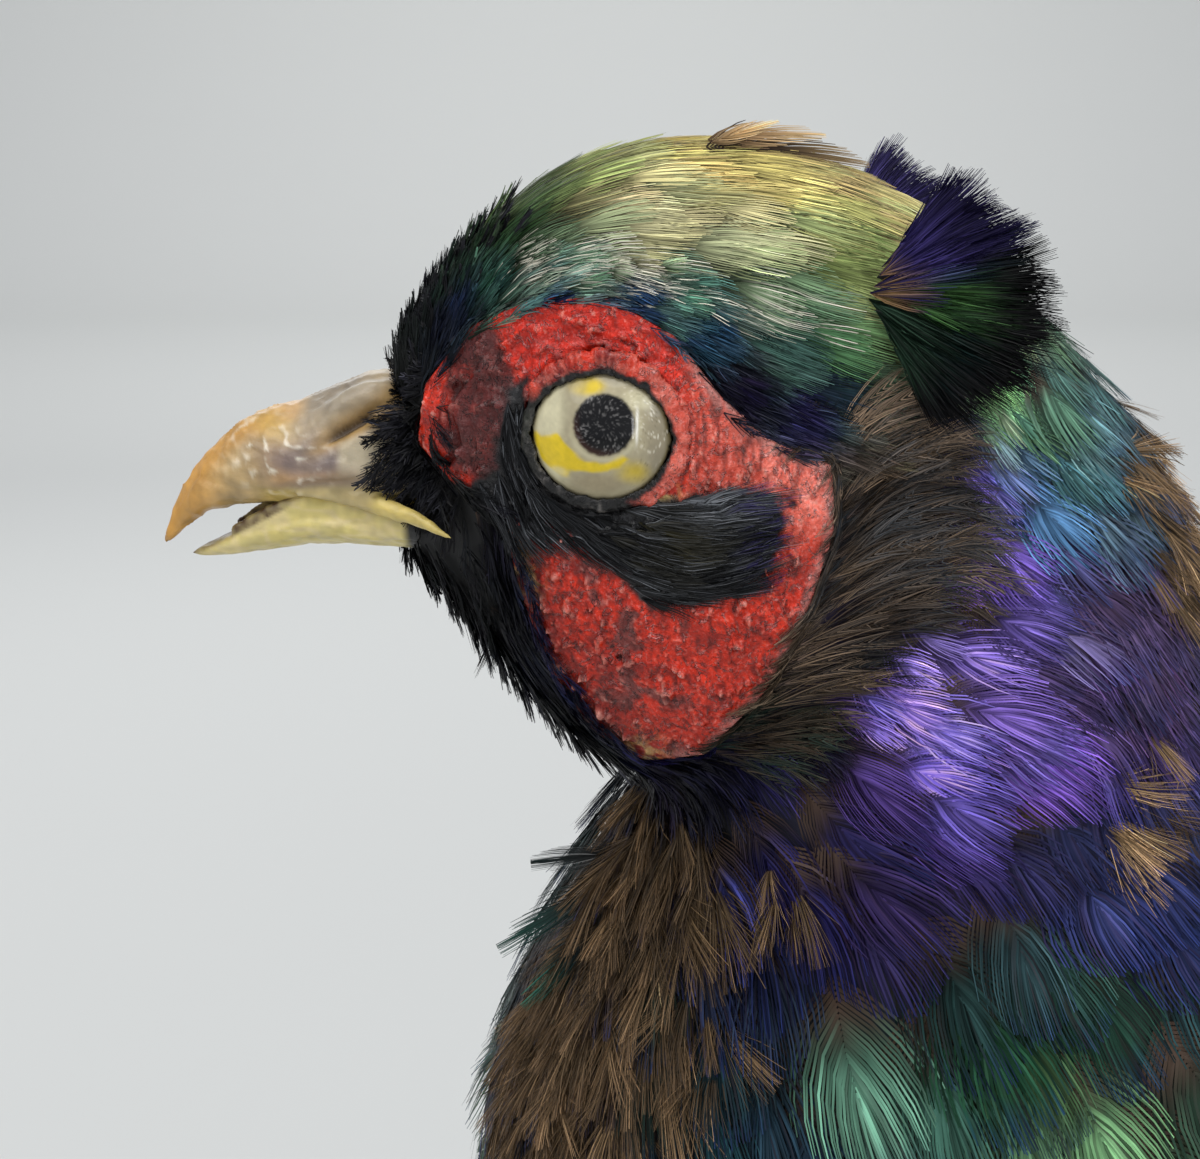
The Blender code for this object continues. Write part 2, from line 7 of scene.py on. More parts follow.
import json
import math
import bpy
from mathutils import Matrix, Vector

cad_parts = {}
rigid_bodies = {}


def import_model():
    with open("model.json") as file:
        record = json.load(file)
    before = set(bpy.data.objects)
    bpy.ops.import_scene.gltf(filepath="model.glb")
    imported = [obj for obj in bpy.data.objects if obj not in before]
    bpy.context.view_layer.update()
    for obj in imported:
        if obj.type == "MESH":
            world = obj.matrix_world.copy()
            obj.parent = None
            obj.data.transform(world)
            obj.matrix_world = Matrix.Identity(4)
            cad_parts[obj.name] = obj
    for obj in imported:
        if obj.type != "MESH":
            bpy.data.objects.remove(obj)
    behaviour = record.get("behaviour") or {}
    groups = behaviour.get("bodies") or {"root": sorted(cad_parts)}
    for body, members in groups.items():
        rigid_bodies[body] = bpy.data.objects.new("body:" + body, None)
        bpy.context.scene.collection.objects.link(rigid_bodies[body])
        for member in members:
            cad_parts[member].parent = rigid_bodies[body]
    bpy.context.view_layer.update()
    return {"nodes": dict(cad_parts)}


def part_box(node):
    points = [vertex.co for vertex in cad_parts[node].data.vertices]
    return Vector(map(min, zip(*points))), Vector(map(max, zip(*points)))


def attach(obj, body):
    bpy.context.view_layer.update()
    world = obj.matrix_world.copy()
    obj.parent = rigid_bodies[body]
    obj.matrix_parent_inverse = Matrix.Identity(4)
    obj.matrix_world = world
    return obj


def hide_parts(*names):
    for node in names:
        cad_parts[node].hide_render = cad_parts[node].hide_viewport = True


bl_info = {
    "name": "Mounted Pheasant",
    "version": (1, 0, 0),
    "blender": (4, 5, 0),
    "location": "View3D > Sidebar > Pheasant",
    "description": "Dresses the solids of a mounted pheasant in skin, feathers, horn, glass and wood",
    "category": "Object",
}

from dataclasses import dataclass
from itertools import product

import bmesh
import bpy
import numpy as np
from bpy.props import FloatProperty, FloatVectorProperty, IntProperty, PointerProperty
from mathutils import Matrix, Vector
from mathutils.bvhtree import BVHTree

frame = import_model()

MM = 0.001
BAKE_MAP = "OFBake"
BAKE_PATCH = 0.003  # how large one feather's patch is on the skin's unwrap
SIDES = ((1, "left"), (-1, "right"))
FLESH = ("head", "neck", "trunk", "wing_left", "wing_right", "thigh_left", "thigh_right")
TOES = ("inner", "middle", "outer", "hind")
TRIES = 3.2  # how many roots are tried for each that fits
CROWDING = 0.82  # how near two roots may be, as a share of their spacing
STATIONS = 6  # places along a feather where it is laid on the skin


# ---- colours ----
def tint(code):
    """A colour written as six hex digits, as linear red, green and blue."""
    parts = (int(code[k : k + 2], 16) / 255 for k in (0, 2, 4))
    return np.array([p / 12.92 if p < 0.04045 else ((p + 0.055) / 1.055) ** 2.4 for p in parts])


def tints(codes):
    """Several colours written as one line of codes."""
    return np.array([tint(code) for code in codes.split()])


def table(text):
    """The numbers of a table whose rows are parted by semicolons."""
    return np.array([row.split() for row in text.split(";")], float)


DOWN_BROWN = tint("4a3a30")
FRINGE_BUFF = tint("a58a60")
PAINTED_GLINT = tint("efe9d6")
DUSK = tint("4a2f38")


# ---- frames ----
def node_middle(name):
    low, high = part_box(name)
    return (low + high) / 2


class Head:
    """The turned head's own frame, found from where the eyes are."""

    LEFT_EYE, RIGHT_EYE = node_middle("eye_left"), node_middle("eye_right")
    LEFT = (LEFT_EYE - RIGHT_EYE).normalized()
    UP = Vector((0, 0, 1))
    AHEAD = LEFT.cross(UP).normalized()
    EYE_RADIUS = (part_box("eye_left")[1].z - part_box("eye_left")[0].z) / 2
    ORIGIN = (LEFT_EYE + RIGHT_EYE) / 2 + AHEAD * 0.16 * EYE_RADIUS
    TURN = np.array((AHEAD, LEFT, UP))

    @classmethod
    def place(cls, ahead, aside, up):
        """A head place in millimetres as a point of the part."""
        return cls.ORIGIN + (cls.AHEAD * ahead + cls.LEFT * aside + cls.UP * up) * MM

    @classmethod
    def read(cls, points):
        """Points of the part as head places in millimetres."""
        return (np.asarray(points) - np.array(cls.ORIGIN)) @ cls.TURN.T / MM

    @classmethod
    def write(cls, places):
        """Head places in millimetres as points of the part."""
        return np.asarray(places) @ cls.TURN * MM + np.array(cls.ORIGIN)

    @classmethod
    def direct(cls, ahead, aside, up):
        return cls.AHEAD * ahead + cls.LEFT * aside + cls.UP * up


# ---- number helpers ----
def unit(vectors):
    return vectors / np.maximum(np.linalg.norm(vectors, axis=-1, keepdims=True), 1e-12)


def dot(a, b):
    return (a * b).sum(axis=-1, keepdims=True)


def ramp(value, low, high):
    """0 below low, 1 above high, smooth between."""
    t = held((value - low) / (high - low))
    return t * t * (3 - 2 * t)


def mix(a, b, share):
    """From a to b by this share; a colour may be given by its code."""
    a, b = (tint(x) if isinstance(x, str) else np.asarray(x) for x in (a, b))
    share = np.asarray(share)[..., None]
    return a * (1 - share) + b * share


def held(value):
    return np.clip(value, 0, 1)


def layered(colour, *layers):
    """The colour with more tones laid over it, each by its share from 0 to 1."""
    for tone, share in layers:
        colour = mix(colour, tone, held(share))
    return colour


def bell(value, middle, width):
    """1 at the middle, falling off on both sides."""
    return np.exp(-(((value - middle) / width) ** 2))


def oval(x, y, middle_x, middle_y, width, height, power=2):
    """1 at the middle of an oval, falling off all round; a high power keeps it long at full strength."""
    return np.exp(-(((x - middle_x) / width) ** power) - ((y - middle_y) / height) ** 2)


def saw(value, pitch):
    """Runs from 1 to 0 and back to 1 once every pitch."""
    return np.abs(((value / pitch) % 1) - 0.5) * 2


def lattice_hash(x, y, z, seed):
    n = (x * 374761393 + y * 668265263 + z * 2147483629 + seed * 974711) & 0xFFFFFFFF
    n = ((n ^ (n >> 13)) * 1274126177) & 0xFFFFFFFF
    n = ((n ^ (n >> 15)) * 2246822519) & 0xFFFFFFFF
    return (n ^ (n >> 16)) / 0xFFFFFFFF


def blobs(points, size, seed=0):
    """Smooth noise from -1 to 1 whose blobs are about this size."""
    p = np.asarray(points, float) / size
    corner = np.floor(p).astype(np.int64)
    f = p - corner
    f = f * f * (3 - 2 * f)
    total = np.zeros(len(p))
    for step in product((0, 1), repeat=3):
        x, y, z = (f[:, k] if step[k] else 1 - f[:, k] for k in range(3))
        total += x * y * z * lattice_hash(*(corner + step).T, seed)
    return total * 2 - 1


def pebbles(points, size, seed=0):
    """Distance to the nearest of jittered points this far apart: 0 at a pebble's middle."""
    p = np.asarray(points, float) / size
    cell = np.floor(p).astype(np.int64)
    best = np.full(len(p), 9.0)
    for step in product((-1, 0, 1), repeat=3):
        c = cell + step
        spot = np.stack([lattice_hash(*c.T, seed + k) for k in (1, 2, 3)], 1)
        best = np.minimum(best, ((c + spot - p) ** 2).sum(axis=1))
    return np.sqrt(best)


# ---- mesh helpers ----
def link(name, mesh, material):
    obj = bpy.data.objects.new(name, mesh)
    bpy.context.scene.collection.objects.link(obj)
    if material:
        mesh.materials.clear()
        mesh.materials.append(material)
    return obj


def keep(obj, slot, *nodes):
    """Fixes a finished piece to the part, in place of these CAD nodes."""
    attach(obj, "root")
    if nodes:
        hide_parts(*nodes)
    return obj


def finished(name, bm, mend=False):
    """The mesh of a bmesh that is done with, its faces turned outwards if asked."""
    if mend:
        bmesh.ops.recalc_face_normals(bm, faces=bm.faces)
    mesh = bpy.data.meshes.new(name)
    bm.to_mesh(mesh)
    bm.free()
    return mesh


def joined(name, meshes):
    bm = bmesh.new()
    for mesh in meshes:
        bm.from_mesh(mesh)
    return finished(name, bm)


def shell(name, points, faces):
    """A smooth mesh from lists of points and faces, turned outwards."""
    raw = bpy.data.meshes.new(name + "_raw")
    raw.from_pydata([tuple(point) for point in points], [], faces)
    bm = bmesh.new()
    bm.from_mesh(raw)
    mesh = finished(name, bm, mend=True)
    mesh.shade_smooth()
    return mesh


def tube(first, rings, around):
    """Faces of a closed tube whose points run ring by ring from this number."""
    rows = first + np.arange(rings * around).reshape(rings, around)
    ahead, back = rows[:-1], rows[1:]
    sides = np.stack([ahead, np.roll(ahead, -1, 1), np.roll(back, -1, 1), back], axis=-1)
    return [*sides.reshape(-1, 4).tolist(), rows[0].tolist(), rows[-1].tolist()]


def welded(node):
    """A CAD node's points and faces with its loose triangles joined."""
    bm = bmesh.new()
    bm.from_mesh(frame["nodes"][node].data)
    bmesh.ops.remove_doubles(bm, verts=bm.verts, dist=0.01 * MM)
    return finished(node + "_welded", bm)


def read_points(mesh, what="co"):
    values = np.zeros(len(mesh.vertices) * 3, np.float32)
    mesh.vertices.foreach_get(what, values)
    return values.reshape(-1, 3).astype(float)


def write_points(mesh, points):
    mesh.vertices.foreach_set("co", np.asarray(points, np.float32).ravel())
    mesh.update()


def shape(mesh):
    return read_points(mesh), read_points(mesh, "normal")


def evaluated(name, holder):
    """A plain mesh of what the object's modifiers make; the object goes."""
    mesh = bpy.data.meshes.new_from_object(holder.evaluated_get(bpy.context.evaluated_depsgraph_get()))
    bpy.data.objects.remove(holder)
    mesh.name = name
    return mesh


def remeshed(name, meshes, voxel, smooth, grow=0.0):
    """One even quad mesh round these meshes, each first grown along its normals."""
    for mesh in meshes if grow else ():
        points, normals = shape(mesh)
        write_points(mesh, points + normals * grow)
    holder = link(name + "_raw", joined(name, meshes), None)
    remesh = holder.modifiers.new("even", "REMESH")
    remesh.mode, remesh.voxel_size, remesh.use_smooth_shade = "VOXEL", voxel, True
    relax = holder.modifiers.new("relax", "SMOOTH")
    relax.factor, relax.iterations = 0.5, smooth
    return evaluated(name, holder)


def subdivided(name, mesh, levels, sharp=None):
    """The mesh rounded by subdivision, or first bevelled on its sharp edges."""
    holder = link(name + "_raw", mesh, None)
    if sharp:
        bevel = holder.modifiers.new("bevel", "BEVEL")
        bevel.width, bevel.segments, bevel.limit_method = sharp, 3, "ANGLE"
    if levels:
        rounder = holder.modifiers.new("round", "SUBSURF")
        rounder.levels = rounder.render_levels = levels
    made = evaluated(name, holder)
    made.shade_smooth()
    return made


def put_colours(mesh, colours, gloss=None):
    """Stores a colour for each point, and how metallic it is."""
    rgba = np.ones((len(mesh.vertices), 4), np.float32)
    rgba[:, :3] = held(colours)
    layer = mesh.color_attributes.new(name="coat", type="FLOAT_COLOR", domain="POINT")
    layer.data.foreach_set("color", rgba.ravel())
    if gloss is not None:
        layer = mesh.attributes.new("gloss", "FLOAT", "POINT")
        layer.data.foreach_set("value", held(gloss).astype(np.float32))


def quad_mesh(name, points, quads, patch):
    """A mesh from arrays; patch is each point's place on the bake map."""
    mesh = bpy.data.meshes.new(name)
    mesh.vertices.add(len(points))
    mesh.vertices.foreach_set("co", np.asarray(points, np.float32).ravel())
    mesh.loops.add(quads.size)
    mesh.loops.foreach_set("vertex_index", quads.astype(np.int32).ravel())
    mesh.polygons.add(len(quads))
    mesh.polygons.foreach_set("loop_start", np.arange(0, quads.size, 4, dtype=np.int32))
    mesh.update(calc_edges=True)
    layer = mesh.uv_layers.new(name=BAKE_MAP)
    layer.data.foreach_set("uv", patch[quads.ravel()].astype(np.float32).ravel())
    mesh.shade_smooth()
    return mesh


# ---- materials ----
def new_material(name, roughness=0.5, **sockets):
    """A material of this name, with its node tree and shader if it is new."""
    material = bpy.data.materials.get(name)
    if material:
        return material, None, None
    material = bpy.data.materials.new(name)
    material.use_nodes = True
    shader = material.node_tree.nodes["Principled BSDF"]
    named = {key.replace("_", " "): value for key, value in sockets.items()}
    plug(material.node_tree, shader, {"Roughness": roughness, **named})
    return material, material.node_tree, shader


def plug(tree, node, inputs):
    """Links each input that is given a socket and sets the others; gives the node's outputs."""
    for key, value in inputs.items():
        if isinstance(value, bpy.types.NodeSocket):
            tree.links.new(value, node.inputs[key])
        else:
            node.inputs[key].default_value = value
    return node.outputs


def add(tree, kind, inputs=(), **settings):
    """Adds a shader node with these inputs and settings, and gives its outputs."""
    node = tree.nodes.new("ShaderNode" + kind)
    for key, value in settings.items():
        setattr(node, key, value)
    return plug(tree, node, dict(inputs))


def painted(name, roughness=0.5, gloss=False, grain=None, **sockets):
    """A material that takes its colour, and if asked its metal, from the mesh's own points."""
    material, tree, shader = new_material(name, roughness, **sockets)
    if tree is None:
        return material
    plug(tree, shader, {"Base Color": add(tree, "Attribute", attribute_name="coat")["Color"]})
    if gloss:
        plug(tree, shader, {"Metallic": add(tree, "Attribute", attribute_name="gloss")["Fac"]})
    if grain:
        scale, depth = grain
        noise = add(tree, "TexNoise", {"Vector": add(tree, "TexCoord")["Object"], "Scale": scale, "Detail": 4})
        plug(tree, shader, {"Normal": add(tree, "Bump", {"Height": noise["Fac"], "Distance": depth})["Normal"]})
    return material


def flaky_skin():
    """Painted skin: the mesh's own colours broken up by fine rough flakes, dark ones and pale ones, and lifted into
    paler painted highlights along thin curling folds.
    """
    material = painted("red_skin", 0.4, Coat_Weight=0.28, Coat_Roughness=0.16, Specular_IOR_Level=0.3)
    tree = material.node_tree
    if tree.nodes.get("Bump"):
        return material
    place = add(tree, "TexCoord")["Object"]

    def noise(scale, distortion):
        inputs = {"Vector": place, "Scale": scale, "Detail": 3, "Distortion": distortion, "Roughness": 0.6}
        return add(tree, "TexNoise", inputs)["Fac"]

    def stretch(value, low, high, to_low, to_high):
        return add(tree, "MapRange", enumerate((value, low, high, to_low, to_high)))[0]

    def bumped(height, depth, **before):
        return add(tree, "Bump", {"Height": height, "Distance": depth, **before})["Normal"]

    def times(a, b):
        return add(tree, "Math", {0: a, 1: b}, operation="MULTIPLY")[0]

    flake, speck, where, curl = noise(1300, 1.6), noise(3600, 0.3), noise(900, 0.4), noise(520, 1.4)
    # folds: thin curling lines, raised by the bump; their colour is lightened and paled as painted highlight
    line = times(stretch(curl, 0.46, 0.5, 0, 1), stretch(curl, 0.5, 0.54, 1, 0))
    fold = times(line, stretch(where, 0.48, 0.56, 0, 1))
    grain = times(stretch(flake, 0.36, 0.66, 0.86, 1.16), stretch(speck, 0.36, 0.66, 0.9, 1.1))
    # value: the flakes' own light and dark, times painted highlight on the folds
    shade = times(grain, stretch(fold, 0, 1, 1, 1.7))
    pale = times(stretch(speck, 0.5, 0.68, 1.04, 0.9), stretch(fold, 0, 1, 1, 0.72))
    colour = tree.nodes["Attribute"].outputs["Color"]
    tone = add(tree, "HueSaturation", {"Color": colour, "Value": shade, "Saturation": pale})["Color"]
    folds = bumped(fold, 0.45 * MM, Normal=bumped(flake, 0.28 * MM))
    inputs = {"Base Color": tone, "Roughness": stretch(speck, 0.35, 0.65, 0.6, 0.3)}
    plug(tree, tree.nodes["Principled BSDF"], {**inputs, "Normal": bumped(speck, 0.05 * MM, Normal=folds)})
    return material


# ---- where the coat lies ----
# places and headings of the lie of the coat: on the head in its own frame, (ahead, aside, up)
HEAD_LIE = table("""
    20 0 4 .35 0 .9; 18 5 5 .45 0 .75; 16 0 10 -.35 0 .95; 14 0 14 -.75 0 .65; 5 0 22 -.95 0 .3; -8 0 25 -1 0 0;
    -22 0 23 -.95 0 -.3; -33 0 15 -.6 0 -.8; -39 0 0 -.35 0 -.95; 12 11 10 -.8 0 .6; 4 13 15 -1 0 .04;
    -8 15 16 -.97 0 -.2; -5 15 12 -.92 0 -.38; -10 17 7 -.82 0 -.55; -15 18 4 -.88 0 -.45; -18 17 8 -.96 0 -.27;
    -22 16 13 -.98 0 -.18; -28 16 8 -.97 0 -.2; -38 12 -10 -.6 0 -.8; 19 7 -1 .8 0 -.35; 18 7 -6 .6 0 -.75;
    13 10 -3 -.6 0 -.7; 14 8 6 -.5 0 .85; 10 13 -7 -1 0 -.1; 0 17 -9 -1 0 -.12; -14 18 -7 -1 0 .1;
    8.6 13 -10 -.2 0 -.98; 6.5 13 -17 -.3 0 -.95; 1 12 -27 -.55 0 -.83; -4 11 -31 -.9 0 -.4; 15 4 -17 -.8 0 -.6;
    6 9 -27 -.7 0 -.7; -4 10 -35 -.6 0 -.8; -22 19 -6 -.95 0 -.3; -22 18 -20 -.85 0 -.5; -12 16 -33 -.8 0 -.6;
    -30 20 -26 -.97 0 -.22; -33 20 -20 -.97 0 -.22; -38 19 -16 -.93 0 -.35; -38 20 -28 -.88 0 -.45;
    -26 20 -38 -.88 0 -.45; -42 14 -6 -.6 0 -.8; -46 19 -32 -.35 0 -.95; -50 16 -20 -.45 0 -.9;
    -36 24 -46 -.25 0 -1; -18 20 -48 -.15 0 -1; -25 36 -60 -.2 0 -1; 5 20 -55 .1 0 -1; -25 50 -80 -.1 0 -1
""")
# on the body in the part's frame, millimetres: (along, aside, up)
BODY_LIE = table("""
    -140 0 280 0 0 -1; -60 0 305 .5 0 -.85; -35 30 275 .7 0 -.7; -128 0 235 .1 0 -1; -105 45 215 .3 0 -.95;
    -118 0 195 .35 0 -.93; -95 0 155 .8 0 -.6; -30 0 133 1 0 -.1; 40 0 128 .98 0 0; 110 0 140 .98 0 .05;
    -50 68 195 .75 0 -.65; 20 66 165 .96 0 -.25; -10 0 262 .92 0 -.38; 60 0 235 .93 0 -.36;
    130 0 185 .94 0 -.34; -70 60 245 .75 0 -.66; 0 74 225 .93 0 -.36; 80 66 190 .94 0 -.34;
    140 45 165 .95 0 -.3; -20 50 120 -.15 0 -1; 14 40 120 .3 0 -1
""")


def lie_controls():
    places, headings = [], []
    for side in (1, -1):
        for x, y, z, *way in HEAD_LIE:
            places.append(Head.place(x, side * y, z))
            headings.append(Head.direct(way[0], side * way[1], way[2]))
        for x, y, z, *way in BODY_LIE:
            places.append(Vector((x, side * y, z)) * MM)
            headings.append(Vector(way))
    return np.array(places), unit(np.array(headings))


def lie_field(places, headings):
    """A lie that blends these headings by how near their places are."""

    def field(points):
        total = np.zeros_like(points)
        for place, heading in zip(places, headings):
            near = ((points - place) ** 2).sum(axis=1, keepdims=True) + (2 * MM) ** 2
            total += heading / near**1.6
        return unit(total)

    return field


lie = lie_field(*lie_controls())


def side_field(side, lie_table):
    """A lie over one side of the head from a table of head places and headings."""
    places = np.array([Head.place(x, side * y, z) for x, y, z, *_ in lie_table])
    headings = np.array([Head.direct(x, side * y, z) for *_, x, y, z in lie_table])
    return lie_field(places, unit(headings))


class Host:
    """A surface that feathers grow on, with its nearest points and its unwrap."""

    def __init__(self, mesh):
        mesh.calc_loop_triangles()
        count = len(mesh.loop_triangles)
        corners, loops = np.zeros(count * 3, np.int32), np.zeros(count * 3, np.int32)
        mesh.loop_triangles.foreach_get("vertices", corners)
        mesh.loop_triangles.foreach_get("loops", loops)
        self.corners, loops = corners.reshape(-1, 3), loops.reshape(-1, 3)
        self.points, self.normals = shape(mesh)
        self.tree = BVHTree.FromPolygons(self.points.tolist(), self.corners.tolist())
        self.patch = np.zeros((count, 3, 2))
        if mesh.uv_layers:
            flat = np.zeros(len(mesh.loops) * 2, np.float32)
            mesh.uv_layers[0].data.foreach_get("uv", flat)
            self.patch = flat.reshape(-1, 2)[loops].astype(float)
        self.values = {}

    def corner_shares(self, points, faces):
        """How near each point is to its triangle's corners, adding up to one."""
        a, b, c = (self.points[self.corners[faces, k]] for k in range(3))
        ab, ac, ap = b - a, c - a, points - a
        d00, d01, d11 = dot(ab, ab), dot(ab, ac), dot(ac, ac)
        d20, d21 = dot(ap, ab), dot(ap, ac)
        scale = np.maximum(d00 * d11 - d01 * d01, 1e-24)
        v, w = (d11 * d20 - d01 * d21) / scale, (d00 * d21 - d01 * d20) / scale
        return held(np.concatenate([1 - v - w, v, w], axis=1))

    def nearest(self, points):
        """The surface's nearest points and smooth normals."""
        shape = points.shape
        flat = points.reshape(-1, 3)
        found, faces = np.empty_like(flat), np.empty(len(flat), int)
        find = self.tree.find_nearest
        for k, point in enumerate(flat.tolist()):
            place, _, face, _ = find(point)
            found[k], faces[k] = place, face
        shares = self.corner_shares(found, faces)[..., None]
        normals = unit((self.normals[self.corners[faces]] * shares).sum(axis=1))
        return found.reshape(shape), normals.reshape(shape)

    def roots_at(self, places, patch, depths):
        """Roots where the surface is nearest to these places, with the coat's depths in millimetres."""
        return Roots(*self.nearest(places), patch, {"depth": depths * MM})

    def scatter(self, rng, spacing, wanted):
        """Random roots about this far apart where wanted(points, values) is true."""
        a, b, c = (self.points[self.corners[:, k]] for k in range(3))
        middle = (a + b + c) / 3
        gap = spacing(middle) if callable(spacing) else np.full(len(middle), spacing)
        values = {k: v[self.corners].mean(axis=1) for k, v in self.values.items()}
        area = np.linalg.norm(np.cross(b - a, c - a), axis=1) / 2 * wanted(middle, values)
        faces = np.repeat(np.arange(len(area)), rng.poisson(area * TRIES / gap**2))
        rng.shuffle(faces)
        r1, r2 = np.sqrt(rng.random(len(faces))), rng.random(len(faces))
        shares = np.stack([1 - r1, r1 * (1 - r2), r1 * r2], axis=1)
        points = (self.points[self.corners[faces]] * shares[..., None]).sum(axis=1)
        if len(points) == 0:
            return Roots(points, points, points[:, :2], {})
        near = gap[faces] * CROWDING
        cells, kept, spots = {}, [], points.tolist()
        for k, (x, y, z) in enumerate(np.floor(points / near.max()).astype(int).tolist()):
            around = product((x - 1, x, x + 1), (y - 1, y, y + 1), (z - 1, z, z + 1))
            px, py, pz = spots[k]
            limit = near[k] ** 2
            for qx, qy, qz in (spot for cell in around for spot in cells.get(cell, ())):
                if (px - qx) ** 2 + (py - qy) ** 2 + (pz - qz) ** 2 < limit:
                    break
            else:
                cells.setdefault((x, y, z), []).append(spots[k])
                kept.append(k)
        faces, shares, points = faces[kept], shares[kept], points[kept]
        normals = unit((self.normals[self.corners[faces]] * shares[..., None]).sum(axis=1))
        patch = (self.patch[faces] * shares[..., None]).sum(axis=1)
        values = {k: (v[self.corners[faces]] * shares).sum(axis=1) for k, v in self.values.items()}
        return Roots(points, normals, patch, values)


@dataclass
class Roots:
    """Where feathers grow: points, normals, places on the unwrap, and the surface's values there."""

    points: np.ndarray
    normals: np.ndarray
    patch: np.ndarray
    values: dict
    seen: np.ndarray = None  # the middle of what shows of each feather

    def __len__(self):
        return len(self.points)

    def deep(self, millimetres, more=False):
        """Sets the coat's depth here, or adds to it."""
        before = self.values["depth"] if more else np.zeros(len(self))
        self.values["depth"] = before + millimetres * MM
        return self

    def pick(self, chosen):
        values = {k: v[chosen] for k, v in self.values.items()}
        return Roots(self.points[chosen], self.normals[chosen], self.patch[chosen], values)


@dataclass
class Vane:
    """One kind of feather; lengths in millimetres."""

    length: float
    half_width: float
    barbs: int  # on each side
    steps: int = 3  # along a barb
    barb_width: float = 0.25
    root_lift: float = 0.1  # above the skin, as a share of the coat's depth
    tip_lift: float = 0.9
    start: float = 0.05  # where the first barb leaves the shaft
    reach: float = 0.42  # how far a barb runs forward
    widest: float = 0.62
    blunt: float = 2.2
    fray: float = 0.06
    split: float = 0.1
    camber: float = 0.25
    swing: float = 8.0  # random turn, degrees
    roll: float = 0.5  # how far a barb's edges tilt, as a share of its width
    shaft: float = 0.0  # width of a visible shaft
    curl: float = 0.0  # how far the tip turns up, as a share of the length
    tip: float = 0.0  # share of the length taken by a round tip whose barbs run side by side; 0 for a plain vane
    gather: float = 0.55  # how far up the shaft the middle barbs leave it
    bow: float = 2.0  # how soon a barb turns to run along the shaft


def vane_plan(vane):
    """The flat plan of one feather: for each point its place along and across, and which barb it is on."""
    share = (np.arange(vane.barbs) + 0.5) / vane.barbs
    if vane.tip:
        width = 1 - share
        end = 1 - vane.tip * width**vane.blunt
        return barb_strips(vane, vane.start + (vane.gather - vane.start) * share, end, width)
    begin = vane.start + (0.97 - vane.start) * share
    end = np.minimum(begin + vane.reach * (1.02 - begin) ** 0.6, 1.0)
    end = end + 0.02 * share
    lead = held((end - vane.widest) / (1.03 - vane.widest))
    trail = held(end / vane.widest)
    width = np.where(end > vane.widest, (1 - lead**vane.blunt) ** (1 / vane.blunt), trail**0.55)
    return barb_strips(vane, begin, end, np.maximum(width, 0.06))


def barb_strips(vane, begin, end, width):
    """Flat strips from the shaft to each barb's end, both sides, as points and quads."""
    side, barb, edge, t = np.ix_((1, -1), range(vane.barbs), (-1, 1), np.linspace(0, 1, vane.steps + 1))
    begin, end, width = (x[:, None, None] for x in (begin, end, width))
    u = begin + (end - begin) * t**1.12
    v = side * width * (1 - (1 - t) ** vane.bow if vane.tip else t**0.88)
    du, dv = np.gradient(u, axis=-1) * vane.length, np.gradient(v, axis=-1) * vane.half_width
    size = np.hypot(du, dv)
    half = vane.barb_width / 2 * (1 - 0.72 * t**1.4)
    across_u, across_v = -dv / size * half / vane.length, du / size * half / vane.half_width
    columns = (u + edge * across_u, v + edge * across_v, edge * half, t, side, barb)
    plan = np.stack(np.broadcast_arrays(*columns), axis=-1).reshape(-1, 6)
    index = np.arange(len(plan)).reshape(-1, 2, vane.steps + 1)
    quads = np.stack([index[:, 0, :-1], index[:, 1, :-1], index[:, 1, 1:], index[:, 0, 1:]], axis=-1).reshape(-1, 4)
    corner = plan[quads][..., :2]
    ahead, beside = corner[:, 2] - corner[:, 0], corner[:, 3] - corner[:, 1]
    wrong = ahead[:, 0] * beside[:, 1] - ahead[:, 1] * beside[:, 0] < 0
    quads[wrong] = quads[wrong, ::-1]
    if vane.shaft:
        s, none = np.linspace(0, 0.96, 7), np.zeros(7)
        half = vane.shaft / 2 * (1 - 0.8 * s)
        rails = [
            np.stack([s, edge * half / vane.half_width, rise * half, none, none, none - 1], axis=1)
            for edge, rise in ((-1, 0), (0, 1), (1, 0))
        ]
        rail = len(plan) + np.arange(21).reshape(3, 7)
        plan = np.concatenate([plan, *rails])
        for a, b in ((0, 1), (1, 2)):
            quads = np.concatenate([quads, np.stack([rail[a, :-1], rail[b, :-1], rail[b, 1:], rail[a, 1:]], 1)])
    return plan, quads


